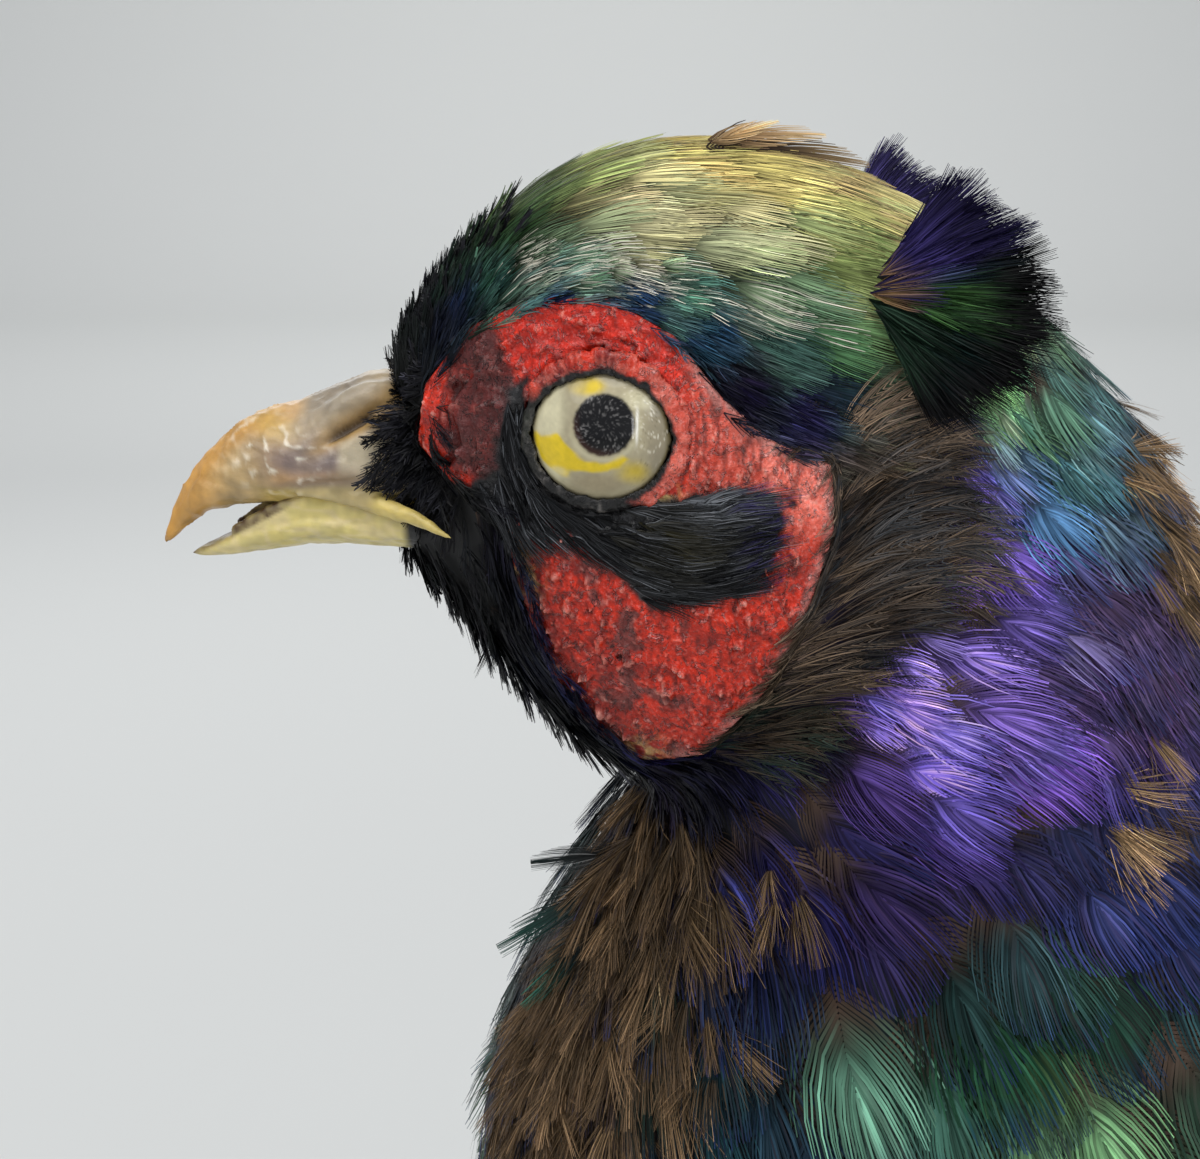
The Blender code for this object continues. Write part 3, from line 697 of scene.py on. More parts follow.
def grow(name, host, roots, vane, rng, paint, material, size=None, depth=None, heading=None):
    """Grows one feather of this kind from each root, laid along the surface, as one mesh object."""
    count = len(roots)
    plan, quads = vane_plan(vane)
    scale = np.ones(count) if size is None else size
    length = vane.length * MM * scale * rng.uniform(0.85, 1.15, count)
    half = vane.half_width * MM * scale * rng.uniform(0.85, 1.15, count)
    coat = np.full(count, MM) if depth is None else depth
    heading = heading or lie
    turn = np.radians(rng.normal(0, vane.swing, count))[:, None]
    place, normal = roots.points, roots.normals
    line, normals, acrosses = [], [], []
    for k in range(STATIONS):
        way = heading(place)
        way = unit(way - normal * dot(way, normal))
        across = np.cross(normal, way)
        way = way * np.cos(turn) + across * np.sin(turn)
        across = np.cross(normal, way)
        for rows, row in zip((line, normals, acrosses), (place, normal, across)):
            rows.append(row)
        if k < STATIONS - 1:
            place, normal = host.nearest(place + way * length[:, None] / (STATIONS - 1))
    line, normals, across = (np.stack(x, axis=1) for x in (line, normals, acrosses))
    roots.seen = line[:, 4]
    left, right = (host.nearest(line + across * side * half[:, None, None]) for side in (-1, 1))
    spots = np.stack([left[0], line, right[0]], axis=2)  # feather, station, left-middle-right
    facing = np.stack([left[1], normals, right[1]], axis=2)

    u, v, rise, t, side, barb = plan.T
    barb = barb.astype(int)
    sideways = (side > 0).astype(int)
    every = (count, 2, vane.barbs + 1)
    loose = rng.normal(0, vane.fray, every)
    clump = rng.normal(0, vane.fray * 0.7, (count, 2, vane.barbs // 4 + 2)).repeat(4, axis=2)[:, :, : vane.barbs + 1]
    breaks = rng.random(every) < 2.0 / vane.barbs
    open_up = np.cumsum(breaks * rng.uniform(0, vane.split, every), axis=2) - vane.split * 0.5
    shift = (loose + clump + open_up)[:, sideways, barb]
    spreads = ((0, vane.fray * 1.2), (0, 0.1), (0.25, vane.roll))
    narrow, up, roll = (rng.normal(*spread, every)[:, sideways, barb] for spread in spreads)
    bend = t[None] ** 1.6
    uu = np.clip(u[None] + shift * bend, 0, 1.06)
    vv = v[None] * (1 + narrow * bend) - side * shift * bend * 0.35
    along = np.clip(uu * (STATIONS - 1), 0, STATIONS - 1.001)
    low = along.astype(int)
    part = (along - low)[..., None, None]
    over = held(uu - 1)[..., None] * length[:, None, None]
    which = np.arange(count)[:, None]
    row, face = (x[which, low] * (1 - part) + x[which, low + 1] * part for x in (spots, facing))
    ahead = unit(spots[which, low + 1, 1] - spots[which, low, 1])
    lean = held(np.abs(vv))[..., None]
    pick = np.where(vv > 0, 2, 0)
    col = np.arange(len(u))[None]
    outer, outer_face = row[which, col, pick], face[which, col, pick]
    points = row[:, :, 1] * (1 - lean) + outer * lean + ahead * over
    points = points + (outer - row[:, :, 1]) * held(np.abs(vv) - 1)[..., None]
    facing_here = unit(face[:, :, 1] * (1 - lean) + outer_face * lean)
    lift = vane.root_lift + (vane.tip_lift - vane.root_lift) * uu**0.8
    lift = lift * rng.uniform(0.8, 1.12, count)[:, None] - vane.camber * vv**2
    height = np.maximum(lift + up * bend, 0.04) * coat[:, None] + vane.curl * length[:, None] * uu**3
    height = height + rise[None] * roll * MM
    points = points + facing_here * height[..., None]
    strand = sideways * (vane.barbs + 1) + barb

    def each_barb():
        return rng.normal(0, 1, (count, 2 * vane.barbs + 2))[:, strand]

    colour, gloss = paint(roots, uu, vv, t, each_barb, rng)
    patch = roots.patch[:, None] + BAKE_PATCH * (np.stack([uu, vv * 0.5 + 0.5], axis=2) - 0.5)
    faces = (quads[None] + np.arange(count)[:, None, None] * len(u)).reshape(-1, 4)
    mesh = quad_mesh(name, points.reshape(-1, 3), faces, patch.reshape(-1, 2))
    put_colours(mesh, colour.reshape(-1, 3), gloss.reshape(-1))
    return link(name, mesh, material)


# ---- the markings ----
# spots of colour on the head and neck: (ahead, aside, up) and reach in millimetres, colour, metal; the near-black spots
# at (-14 15 -40) and (-22 20 -39) are painted shadow under the head, and the brightest violet spots at (-31.6 20.4 -22)
# and (-35.5 22 -29) are the feathers' own violet lightened by painted sheen
HEAD_MARKS = """
    19 4 4 4 0c0f0d .1; 17 4 9 4 0e1412 .2; 14 5 14 4 16261c .35; 14 8 8 3 0f1420 .3; 7 7 18 4 2a4428 .45;
    5 3 22 4 4a5634 .5; 0 4 24 5 8a9058 .45; 0 11 17 3 68785a .45; -6 11 18 4 bab389 .45; -12 5 24 6 b8a864 .5;
    -15 14 15.5 3.5 ccca9c .42; -22 6 22 6 cdbb78 .5; -24 12 16 4 8f9c62 .5; -29 8 17 5 dccf8c .42;
    9.5 9 13 2.5 33524a .45; 2 13 14 3 7c9c88 .42; -9 16 12.5 3 50786a .45; -18 17 11 3 4f7a62 .45;
    12.5 8 10 2.2 141f38 .4; 3 14 11.5 2 1c2a54 .45; -4 15 11 2.2 1c3450 .5; -10 17 8.5 2.6 1f3c52 .5;
    -17 17.5 7.2 2.8 47655c .5; -22 17.5 6 3 568a5c .48; -13 18 4 2.4 130d24 .5; -18 18.5 2.2 2.4 17123a .5;
    -22 18 2.8 2 16203a .5; 13 12 -8 4 0a0a0c .1; -2 17 -10 5 100e12 .1; 12 6 -19 6 0a0b0d .1;
    4 8 -31 6 0b0d10 .15; -8 12 -37 5 0d0c14 .2; -27 19 -6 5 4c4030 .1; -27 18 -18 5 3c3234 .15;
    -20 17 -29 4 1c1826 .3; -32 15 -1 3 1a1538 .5; -38 12 2 3.8 90c884 .55; -43 9 1 4 557a60 .55;
    -41.5 14 -8 4 5084a4 .55; -47 11 -8 5 4a6a70 .55; -35.5 15.5 -5.5 3.2 8068c8 .6;
    -31.6 20.4 -22 6.5 b492ff .55; -37 18 -13 4.5 7d62c8 .6; -26 20 -33 4 4a3870 .5; -43 20 -22 6 5e4a7c .6;
    -50 15 -20 7 4a3a5c .55; -35.5 22 -29 5.5 8a6ce0 .58; -22 20 -39 4 17121e .3; -8 10 -39 5 070608 .1;
    -14 15 -40 4 0a080c .1; -18 19 -48 4 2c2458 .5; -30 24 -46 6 352a50 .6; -45 22 -40 6 2a2c54 .5;
    -52 20 -44 6 242e56 .5; -30 24 -54 4 282b50 .5; -16 18 -53 4 131a3a .5; -6 11 -50 5 14142e .35;
    0 0 -52 7 3c2e20 .1; 5 0 -68 9 40342a .1; 12 -18 -82 9 232436 .3; -6 12 -64 6 12301f .5;
    -22 24 -60 6 6c9c80 .25; -36 27 -57 6 1d4228 .55; -48 26 -56 7 1c3c2c .55; -44 28 -62 6 709c6c .25;
    -30 28 -68 6 48785c .35; -10 22 -80 9 1c4a30 .55; -45 40 -84 10 1f4a34 .55; -25 52 -96 10 1c4c36 .55
"""
# spots on the body in the part's frame: (along, aside, up) and reach in millimetres, colour, metal
BODY_MARKS = """
    -135 0 285 14 201c58 .5; -60 0 300 12 2c4a78 .6; -40 0 280 14 24405c .55; -30 30 262 16 2a2c4c .5;
    -125 0 240 14 1c2f50 .5; -118 0 205 18 12402a .6; -95 50 210 16 16482c .6; -95 0 165 20 103a20 .6;
    -40 0 140 30 10301c .5; -40 66 185 24 144226 .6; 30 60 150 24 12341f .5; 30 0 128 26 1a1f16 .3;
    105 0 138 26 1c1612 .1; -15 0 258 22 2c3a30 .5; 25 0 248 20 3d4a44 .45; 70 0 225 24 56645c .35;
    120 0 190 22 5f6c5e .3; -40 60 245 18 4c564c .35; 10 74 225 24 68706a .2; 70 68 195 24 6b6a58 .1;
    130 50 165 22 5f523c .05; -10 45 110 20 1e1812 .1
"""


def mark_table():
    places, rest = [], []
    for side in (1, -1):
        for marks, place in ((HEAD_MARKS, Head.place), (BODY_MARKS, lambda *spot: Vector(spot) * MM)):
            for row in marks.split(";"):
                x, y, z, reach, code, metal = row.split()
                places.append(place(float(x), side * float(y), float(z)))
                rest.append((float(reach) * MM, *tint(code), float(metal)))
    rest = np.array(rest)
    return np.array(places), rest[:, 0], rest[:, 1:4], rest[:, 4]


MARK_PLACES, MARK_REACHES, MARK_COLOURS, MARK_METALS = mark_table()


def markings(points):
    """The coat's colour and metal at these points."""
    colour, metal, total = np.zeros((len(points), 3)), np.zeros(len(points)), np.zeros(len(points))
    for place, reach, tone, shine in zip(MARK_PLACES, MARK_REACHES, MARK_COLOURS, MARK_METALS):
        distance = ((points - place) ** 2).sum(axis=1) / reach**2
        weight = 1 / (0.15 + distance) ** 2.6
        colour += weight[:, None] * tone
        metal += weight * shine
        total += weight
    return colour / total[:, None], metal / total


def coat_paint(
    down=0.25, vary=0.25, streak=0.2, fringe=None, fringe_from=0.8, bars=None, painted_root_shade=0.5, painted_root_shade_end=0.75,
    tip=None, painted_glints=0.0, dusk=0.0,
):
    """A painter for feathers: brown down at the root, then the markings, with streaks barb by barb; painted shade
    darkens each feather towards its root, where the feathers before it lie over it, and if asked painted glints of
    light fall on single barbs in a band above the eye.
    """

    def paint(roots, along, across, barb_share, each_barb, rng):
        count = len(along)
        tone, metal = markings(roots.seen)
        wave = blobs(roots.seen, 5 * MM, 3)
        bright = np.exp(rng.normal(0, vary, (count, 1)) + 0.22 * wave[:, None])
        tone = tone * np.exp(rng.normal(0, vary * 0.35, (count, 3)))
        colour = tone[:, None] * bright[..., None]
        if tip is not None:
            colour = mix(colour, tip * bright[..., None], ramp(along, 0.82, 0.97) * 0.6)
        flow = 1 + streak * np.sin(across * 23 + along * 7 + rng.uniform(0, 6, (count, 1)))
        colour = colour * np.clip(flow * np.exp(streak * 1.4 * each_barb()), 0.25, 2.2)[..., None]
        if dusk:
            worn = ramp(each_barb() + 0.6 * each_barb(), 0.7, 1.9) * dusk
            colour = mix(colour, DUSK * bright[..., None], worn)
        # painted shade: each feather darker towards its root, where the feathers before it lie over it
        colour = colour * (1 - painted_root_shade * (1 - ramp(along, painted_root_shade_end - 0.4, painted_root_shade_end)))[..., None]
        if bars:
            bar_colour, bar_count = bars
            strength = ramp(np.sin(along * bar_count * 2 * math.pi + across * 1.2), 0.35, 0.75) * ramp(along, 0.15, 0.3)
            colour = mix(colour, bar_colour * bright[..., None], strength * 0.8)
        if fringe is not None:
            edge = ramp(np.maximum(barb_share, along - 0.05), fringe_from, fringe_from + 0.12) * ramp(along, 0.4, 0.6)
            colour = mix(colour, fringe * bright[..., None], edge * 0.85)
        # painted highlights: near-white glints of light on single barbs along a band above the eye
        if painted_glints:
            ahead, _, up = Head.read(roots.seen).T
            share = bell(up, 13.4 - 0.007 * (ahead - 3) ** 2, 1.9) * ramp(ahead, -25, -19) * (1 - ramp(ahead, 5, 9))
            share = share * painted_glints * (0.6 + 0.9 * blobs(roots.seen, 1.7 * MM, 5))
            painted_highlight = ramp(each_barb() + 2.2 * share[:, None], 1.35, 2.1) * (share > 0.12)[:, None]
            colour = mix(colour, PAINTED_GLINT, painted_highlight * ramp(along, 0.5, 0.75) * 0.85)
        brown = 1 - ramp(along, down * 0.6, down * 1.5 + 0.01)
        colour = mix(colour, DOWN_BROWN * rng.uniform(0.5, 1.3, (count, 1, 1)), brown)
        return colour, metal[:, None] * (1 - brown) * rng.uniform(0.7, 1.15, (count, 1))

    return paint


def flat_paint(codes, spread):
    """A painter that goes through these colours from root to tip."""
    tones = tints(codes)

    def paint(roots, along, across, barb_share, each_barb, rng):
        place = held(along) * (len(tones) - 1)
        low = np.minimum(place.astype(int), len(tones) - 2)
        colour = mix(tones[low], tones[low + 1], place - low)
        colour = colour * np.exp(rng.normal(0, spread, (len(along), 1, 1)) + spread * each_barb()[..., None])
        return colour, np.zeros(along.shape)

    return paint


# ---- settings ----
def colour_property(name, code, description):
    return FloatVectorProperty(
        name=name, description=description, default=tuple(tint(code)), subtype="COLOR", size=3, min=0, max=1
    )


def length_property(name, millimetres, description):
    return FloatProperty(name=name, description=description, default=millimetres * MM, min=0, unit="LENGTH")


def coat_depth(where, millimetres):
    text = f"How far the skin lies below the feathers' tips on the {where}"
    return length_property(f"Coat on the {where}", millimetres, text)


def root_spacing(where, millimetres):
    return length_property(f"Spacing, {where}", millimetres, f"Distance between the roots of the {where}'s feathers")


class PheasantCoat(bpy.types.PropertyGroup):
    """Sizes of the skin and the coat."""

    skin_voxel: length_property("Skin grid", 1.9, "Size of the skin mesh's squares")
    head_depth: coat_depth("head", 1.2)
    neck_depth: coat_depth("neck", 3.2)
    body_depth: coat_depth("trunk", 4.2)
    wing_depth: coat_depth("wings", 1.8)
    crown_spacing: root_spacing("crown", 1.75)
    neck_spacing: root_spacing("upper neck", 3.4)
    body_spacing: root_spacing("body", 9.0)
    seed: IntProperty(name="Seed", description="Start of the random placing", default=7, min=0)


class PheasantFace(bpy.types.PropertyGroup):
    """Colours of the bare parts."""

    red: colour_property("Face", "cb2a0e", "The bare red skin")
    deep_red: colour_property("Face, deep", "6c0e06", "The darkest of the bare skin")
    pale_red: colour_property("Face, pale", "e07565", "Where the red skin is dusty")
    dull_red: colour_property("Face, dull", "6e3632", "Where the red has worn off the skin")
    iris: colour_property("Iris", "a99f82", "The glass eye's pale ring")
    iris_gold: colour_property("Iris, gold", "dfc010", "The brightest yellow of the iris")
    pupil: colour_property("Pupil", "040406", "The glass eye's dusty pupil")
    horn: colour_property("Bill", "b99d6c", "The bill's sides")
    horn_ridge: colour_property("Bill ridge", "cb9440", "The bill's ridge, tip and cutting edge")
    horn_grey: colour_property("Bill, grey", "86706a", "The grey patch on the bill's side")


class PheasantStage(bpy.types.PropertyGroup):
    """The stage and the camera."""

    floor: colour_property("Floor", "d0d1ce", "The plain floor and backdrop")
    wood: colour_property("Wood", "6b3f20", "The base")
    distance: length_property("Camera distance", 212, "From the middle of the head")
    aim_below: length_property("Aim", 16.5, "How far below the eyes the camera points")
    lens: FloatProperty(name="Lens", description="Focal length of the camera in millimetres", default=68, min=10)
    elevation: FloatProperty(
        name="Elevation", description="Camera's height as an angle", default=math.radians(14), subtype="ANGLE"
    )


def density():
    """The factor on the roots' spacing; always 1."""
    return 1.0


HOSTS = {}


# ---- skin ----
def nearest_distance(nodes, points):
    """How far each point is from the nearest of these CAD nodes."""
    best = np.full(len(points), 1.0)
    for node in nodes:
        mesh = welded(node)
        tree = BVHTree.FromPolygons([v.co for v in mesh.vertices], [p.vertices for p in mesh.polygons])
        best = np.minimum(best, [tree.find_nearest(p)[3] for p in points.tolist()])
    return best


def spread_out(mesh, values, rounds):
    """Smooths one value per point over the mesh."""
    edges = np.zeros(len(mesh.edges) * 2, np.int32)
    mesh.edges.foreach_get("vertices", edges)
    a, b = edges.reshape(-1, 2).T
    count = len(values)
    degree = np.bincount(a, minlength=count) + np.bincount(b, minlength=count)
    for _ in range(rounds):
        total = np.bincount(a, values[b], count) + np.bincount(b, values[a], count)
        values = 0.3 * values + 0.7 * total / np.maximum(degree, 1)
    return values


class PHEASANT_OT_skin(bpy.types.Operator):
    """Makes one skin over head, neck, trunk, wings and thighs, sunk by the coat's depth and darkened with painted shade
    """

    bl_idname = "pheasant.skin"
    bl_label = "Skin"

    def execute(self, context):
        coat = context.scene.pheasant_coat
        wattles = ("wattle_left", "wattle_right")
        meshes = [welded(node) for node in FLESH + wattles]
        mesh = remeshed("skin", meshes, coat.skin_voxel, smooth=3, grow=0.45 * MM)
        points, normals = shape(mesh)
        groups = {"head": ("head", *wattles), "neck": ("neck",), "trunk": ("trunk",)}
        groups |= {name: (name + "_left", name + "_right") for name in ("wing", "thigh")}
        names = tuple(groups)
        closest = np.argmin([nearest_distance(nodes, points) for nodes in groups.values()], axis=0)
        depths = np.array([coat.head_depth, coat.neck_depth, coat.body_depth, coat.wing_depth, coat.wing_depth])
        depth = spread_out(mesh, depths[closest], 14)
        write_points(mesh, points - normals * (depth + 0.45 * MM)[:, None])
        values = {name: (closest == k).astype(float) for k, name in enumerate(names)}
        values["depth"] = depth
        values["face"] = nearest_distance(wattles, points)
        colour, _ = markings(read_points(mesh))
        # painted shade: the skin wears the markings at 0.3 of their brightness, as the coat shades it
        put_colours(mesh, colour * 0.3)
        skin = link("skin", mesh, painted("skin_hide", 0.7))
        for obj in context.selected_objects:
            obj.select_set(False)
        context.view_layer.objects.active = skin
        skin.select_set(True)
        bpy.ops.object.mode_set(mode="EDIT")
        bpy.ops.mesh.select_all(action="SELECT")
        bpy.ops.uv.smart_project(angle_limit=math.radians(70), island_margin=0.003)
        bpy.ops.object.mode_set(mode="OBJECT")
        skin.select_set(False)
        mesh.uv_layers[0].name = BAKE_MAP
        keep(skin, "breast_green", *FLESH)
        host = Host(mesh)
        host.values = values
        HOSTS["skin"] = host
        return {"FINISHED"}


# ---- places on the head's side ----
# outlines on the head's side: (ahead, up) from between the eyes
FACE_BAND = table("""
    13 -5.6; 9.2 -3.2; 8.6 0; 8.2 3.6; 6.6 4.6; 6.2 0; 4.9 -3.2; 2.4 -5.2; -2 -5.8; -5.8 -5.2; -10.2 -4.8;
    -14.8 -4.7; -15.8 -7.6; -14.2 -11.6; -10.9 -13.9; -7 -14.5; -3.4 -14.4; -.4 -11.2; 2.4 -9.1; 5.5 -7.6;
    8.4 -7.9; 10.5 -10; 12 -8
""")
FACE_EDGE = table("""
    16.4 -2; 15.6 3.2; 11.5 8.6; 5.5 11.4; -1 11.5; -6.4 8.6; -10.4 3.6; -15 -.2; -20 -2.2; -20.2 -8; -18.2 -15;
    -14.6 -23; -9.4 -29.8; -4 -31; .4 -28.6; 4.4 -22.6; 7 -15; 8.4 -9; 12 -6.4
""")


def inset(outline, x, y):
    """How far inside a closed outline each place is; below zero outside."""
    corners = np.array(outline, float)
    best = np.full(len(x), 1e9)
    within = np.zeros(len(x), bool)
    for (ax, ay), (bx, by) in zip(corners, np.roll(corners, -1, axis=0)):
        dx, dy = bx - ax, by - ay
        t = held(((x - ax) * dx + (y - ay) * dy) / (dx * dx + dy * dy))
        best = np.minimum(best, np.hypot(x - ax - t * dx, y - ay - t * dy))
        crosses = (ay > y) != (by > y)
        within ^= crosses & (x < dx * (y - ay) / (dy if dy else 1e-9) + ax)
    return np.where(within, best, -best)


def creases(points, size, seed):
    """Noise with sharp raised lines, 0 to 1."""
    return 1 - np.abs(blobs(points, size, seed))


def stretched(points, *factors):
    return points * np.array(factors)


def mirrored(points, side):
    """Head places of one side as if they were on the left."""
    return Head.read(points) * (1, side, 1)


def on_head_side(points, side=1):
    """How far ahead, aside and up each point is from between the eyes, and how far inside the bare face."""
    ahead, aside, up = mirrored(points, side).T
    return ahead, aside, up, inset(FACE_EDGE, ahead, up)


# ---- bare face ----
CRUMBS = table("8.6 -10.8 3.2 1.1; -5.4 -5.2 2 .8; -4 -30 3 .6; 7 -13.5 2 .6")  # ahead, up, size, strength


def face_grain(h):
    """The bare skin's ridges, fibres, crumbs, worn patches and pits, each 0 to 1."""
    ahead, up = h[:, 0], h[:, 2]
    low = ramp(-up, 7, 12)
    ring = np.stack([np.arctan2(ahead, up) * 9, np.hypot(ahead, up), h[:, 1]], axis=1)
    bent = h + 0.7 * np.stack([blobs(h, 2.2, k) for k in (17, 18, 19)], axis=1)
    broken = ramp(blobs(h, 0.8, 29) + 0.5 * blobs(h, 3, 36), -0.05, 0.5)
    ridge = creases(stretched(bent, 1, 1, 0.45), 0.95, 11) ** 6 * low
    ridge = (ridge + creases(stretched(ring, 0.4, 1, 0.6), 0.75, 12) ** 6 * (1 - low)) * broken
    fibre = creases(stretched(bent, 1.2, 1, 0.5), 0.42, 13) ** 2 * low
    fibre = fibre + creases(stretched(ring, 0.3, 1.2, 0.6), 0.45, 14) ** 2 * (1 - low)
    crumb = held(0.5 + 0.55 * blobs(bent, 0.32, 20) + 0.35 * blobs(bent, 0.7, 37))
    worn = ramp(blobs(bent, 2.4, 30) + 0.35 * blobs(h, 0.8, 35), 0.1, 0.4)
    pit = ramp(-pebbles(h, 4.5, 15), -0.11, -0.05)
    return ridge, fibre, crumb, worn, pit


def face_relief(h):
    """Height in millimetres of the bare skin's folds, ridges, crumbs and pits."""
    ahead, up = h[:, 0], h[:, 2]
    reach = np.hypot(ahead, up)
    fold = 0.15 * bell(reach, 7.7, 0.4) * ramp(up, 1, 4)
    seam = ahead - (13.2 - 0.25 * np.clip(up + 4, -3, 9) + 0.8 * np.sin(up * 0.8))
    seam_line = 0.45 * bell(seam, 0, 0.4) - 0.7 * bell(seam, 1, 0.45)
    fold += seam_line * ramp(up, -7, -5) * (1 - ramp(up, 4, 7))
    ridge, fibre, crumb, worn, pit = face_grain(h)
    rough = 0.95 * ridge + 0.14 * fibre + 0.04 * crumb - 0.12 * worn
    swell = 0.3 * blobs(h, 5, 16) + 0.18 * blobs(h, 1.8, 18)
    margin = 0.3 + 0.7 * ramp(inset(FACE_EDGE, ahead, up), 0.2, 1.8)
    return fold + rough * margin + swell - 0.5 * pit - 0.3


def face_colours(h, face):
    """Colours of the bare skin at head places in millimetres, with painted highlights on its ridges and fibres and
    painted shade beside the ridges and between the fibres.
    """
    ahead, up = h[:, 0], h[:, 2]
    red, deep, pale = (np.array(tone) for tone in (face.red, face.deep_red, face.pale_red))
    edge = inset(FACE_EDGE, ahead, up)
    ridge, fibre, crumb, worn, pit = face_grain(h)
    low, brow = ramp(-up, 7, 12), ramp(up, 3, 6) * (1 - ramp(np.abs(ahead - 0.5), 7, 9))
    torn = ahead + 0.6 * blobs(h, 1.3, 39)
    front = ramp(torn - 0.4 * np.maximum(up - 4.8, 0), 7.3, 8.2) * ramp(up, -4.8, -3.4) * (1 - ramp(torn, 13.3, 14.1))
    frost = ramp(-ahead, 6, 9) * ramp(up, -12, -4)
    patchy = worn * (0.3 + 0.6 * low * ramp(ahead, -12, -4)) * (1 - brow) * (1 - frost)
    low_front = ramp(4.2 - edge, 0, 3.6) * ramp(-up, 7, 11) * ramp(ahead, -9, -1)
    colour = layered(
        mix(red, deep, held(0.14 + 0.5 * blobs(h, 3.0, 21) + 0.6 * blobs(h, 1.1, 22)) * 0.85),
        (red * (0.95, 0.6, 0.5), brow * 0.7),
        (np.array(face.dull_red), patchy + front * (0.6 + 0.5 * blobs(h, 0.7, 27))),
        (deep * 0.8, low_front * 0.85),
    )
    colour = colour * (1 - 0.35 * ramp(-up, 23, 29))[:, None]
    # brighter on crumbs and raised fibres, darker between them: partly the skin's own grain, partly painted light and
    # shade
    colour = colour * np.exp(0.3 * (crumb - 0.5) + 0.4 * (fibre - 0.4))[:, None]
    frost_share = held(0.45 + 0.6 * ramp(fibre + 0.4 * crumb, 0.4, 1.0)) * (0.6 + 0.4 * ramp(-ahead, 10, 15))
    upper = ramp(up, 6.5, 9.5) * ramp(-ahead, -9, -3)
    # painted highlights: pale pink on the ridges' crests and on the crumbly fibres, more of them where the skin is
    # frosted and along its upper edge
    painted_highlight = ramp(ridge, 0.4, 0.8) * (0.55 + 0.3 * frost) * (0.4 + crumb)
    painted_highlight = painted_highlight + ramp(fibre * crumb, 0.5, 0.8) * (0.3 + 0.5 * frost + 0.4 * upper)
    # the dull maroon front zone, lighter on its ridges as painted highlight
    maroon = mix("3a0e0c", "5e2422", held(0.4 + 0.5 * blobs(h, 0.8, 27) + 0.5 * ridge))
    crumbs = sum(
        strength * np.exp(-((ahead - x) ** 2 + (up - y) ** 2) / size)
        for x, y, size, strength in CRUMBS
    )
    black = mix("070607", "323234", (0.5 + 0.5 * blobs(h, 0.5, 26)) ** 3)
    return layered(
        colour,
        # painted shade: deeper red in the hollows between the fibres
        (deep * 0.6, ramp(0.32 - fibre, 0, 0.22) * (0.6 + 0.3 * frost) * (1 - 0.6 * brow)),
        (pale * (1 + 0.35 * ramp(-ahead, 13, 17))[:, None], frost * frost_share),
        ("f0a393", held(painted_highlight) * (1 - 0.7 * brow * (1 - upper))),
        (maroon, front * (0.9 - 0.35 * ramp(blobs(h, 1.6, 40), 0.1, 0.5))),
        # painted shadow along the flanks of each ridge
        (deep * 0.6, ramp(ridge, 0.08, 0.2) * (1 - ramp(ridge, 0.25, 0.4)) * 0.6),
        ("b98a82", ramp(1.4 - edge, 0, 1.2) * ramp(-ahead, 5, 9) * (0.3 + 0.4 * crumb)),
        ("120303", pit * 0.9),
        ("c9b071", ramp(creases(h, 0.9, 25), 0.66, 0.86) * crumbs),
        (black, ramp(inset(FACE_BAND, ahead, up) + 0.5 * blobs(h, 0.9, 28), -0.5, 0.3)),
    )


class PHEASANT_OT_face(bpy.types.Operator):
    """Makes the bare red skin on each side of the face, with its folds, flakes and pits"""

    bl_idname = "pheasant.face"
    bl_label = "Bare face"

    def execute(self, context):
        face = context.scene.pheasant_face
        material = flaky_skin()
        for side, word in SIDES:
            mesh = remeshed("face_" + word, [welded("wattle_" + word)], 0.28 * MM, smooth=5)
            points, normals = shape(mesh)
            h = mirrored(points, side)
            outward = ramp(dot(normals, np.array(Head.LEFT) * side)[:, 0], 0.1, 0.6)
            relief = face_relief(h)
            write_points(mesh, points + normals * (relief * outward * MM)[:, None])
            put_colours(mesh, face_colours(h, face))
            keep(link("face_" + word, mesh, material), "face_red", "wattle_" + word)
            HOSTS["face_" + word] = Host(mesh)
        return {"FINISHED"}


PUPIL_AHEAD, PUPIL_UP, PUPIL_RADIUS = 1.1, 1.4, 2.72  # millimetres, seen from the side
# the brightest yellow of the iris: millimetres ahead of and above the pupil's middle
GOLD_SWEEP = table("""
    6.6 -.9; 4.2 -.9; 3.1 -2; 1.6 -3.1; .3 -3.4; -1.6 -2.6; -2.3 -2.9; -.4 -4.1; 1 -4.1; 2.3 -3.8; 3.3 -4.5;
    4.4 -4.3; 6 -3
""")
EYE_TURN = math.radians(12)  # how far the lids face ahead of sideways
LID_OPENING = (6.2, 5.75)  # half its length and half its height, millimetres


def off_gaze(points, side):
    """How far these places round an eye are from the middle of its lids' opening, 1 at the opening's edge."""
    gaze = np.array(Head.direct(math.sin(EYE_TURN), side * math.cos(EYE_TURN), 0))
    up = np.array(Head.UP)
    return np.hypot(points @ np.cross(up, gaze) / LID_OPENING[0], points @ up / LID_OPENING[1])


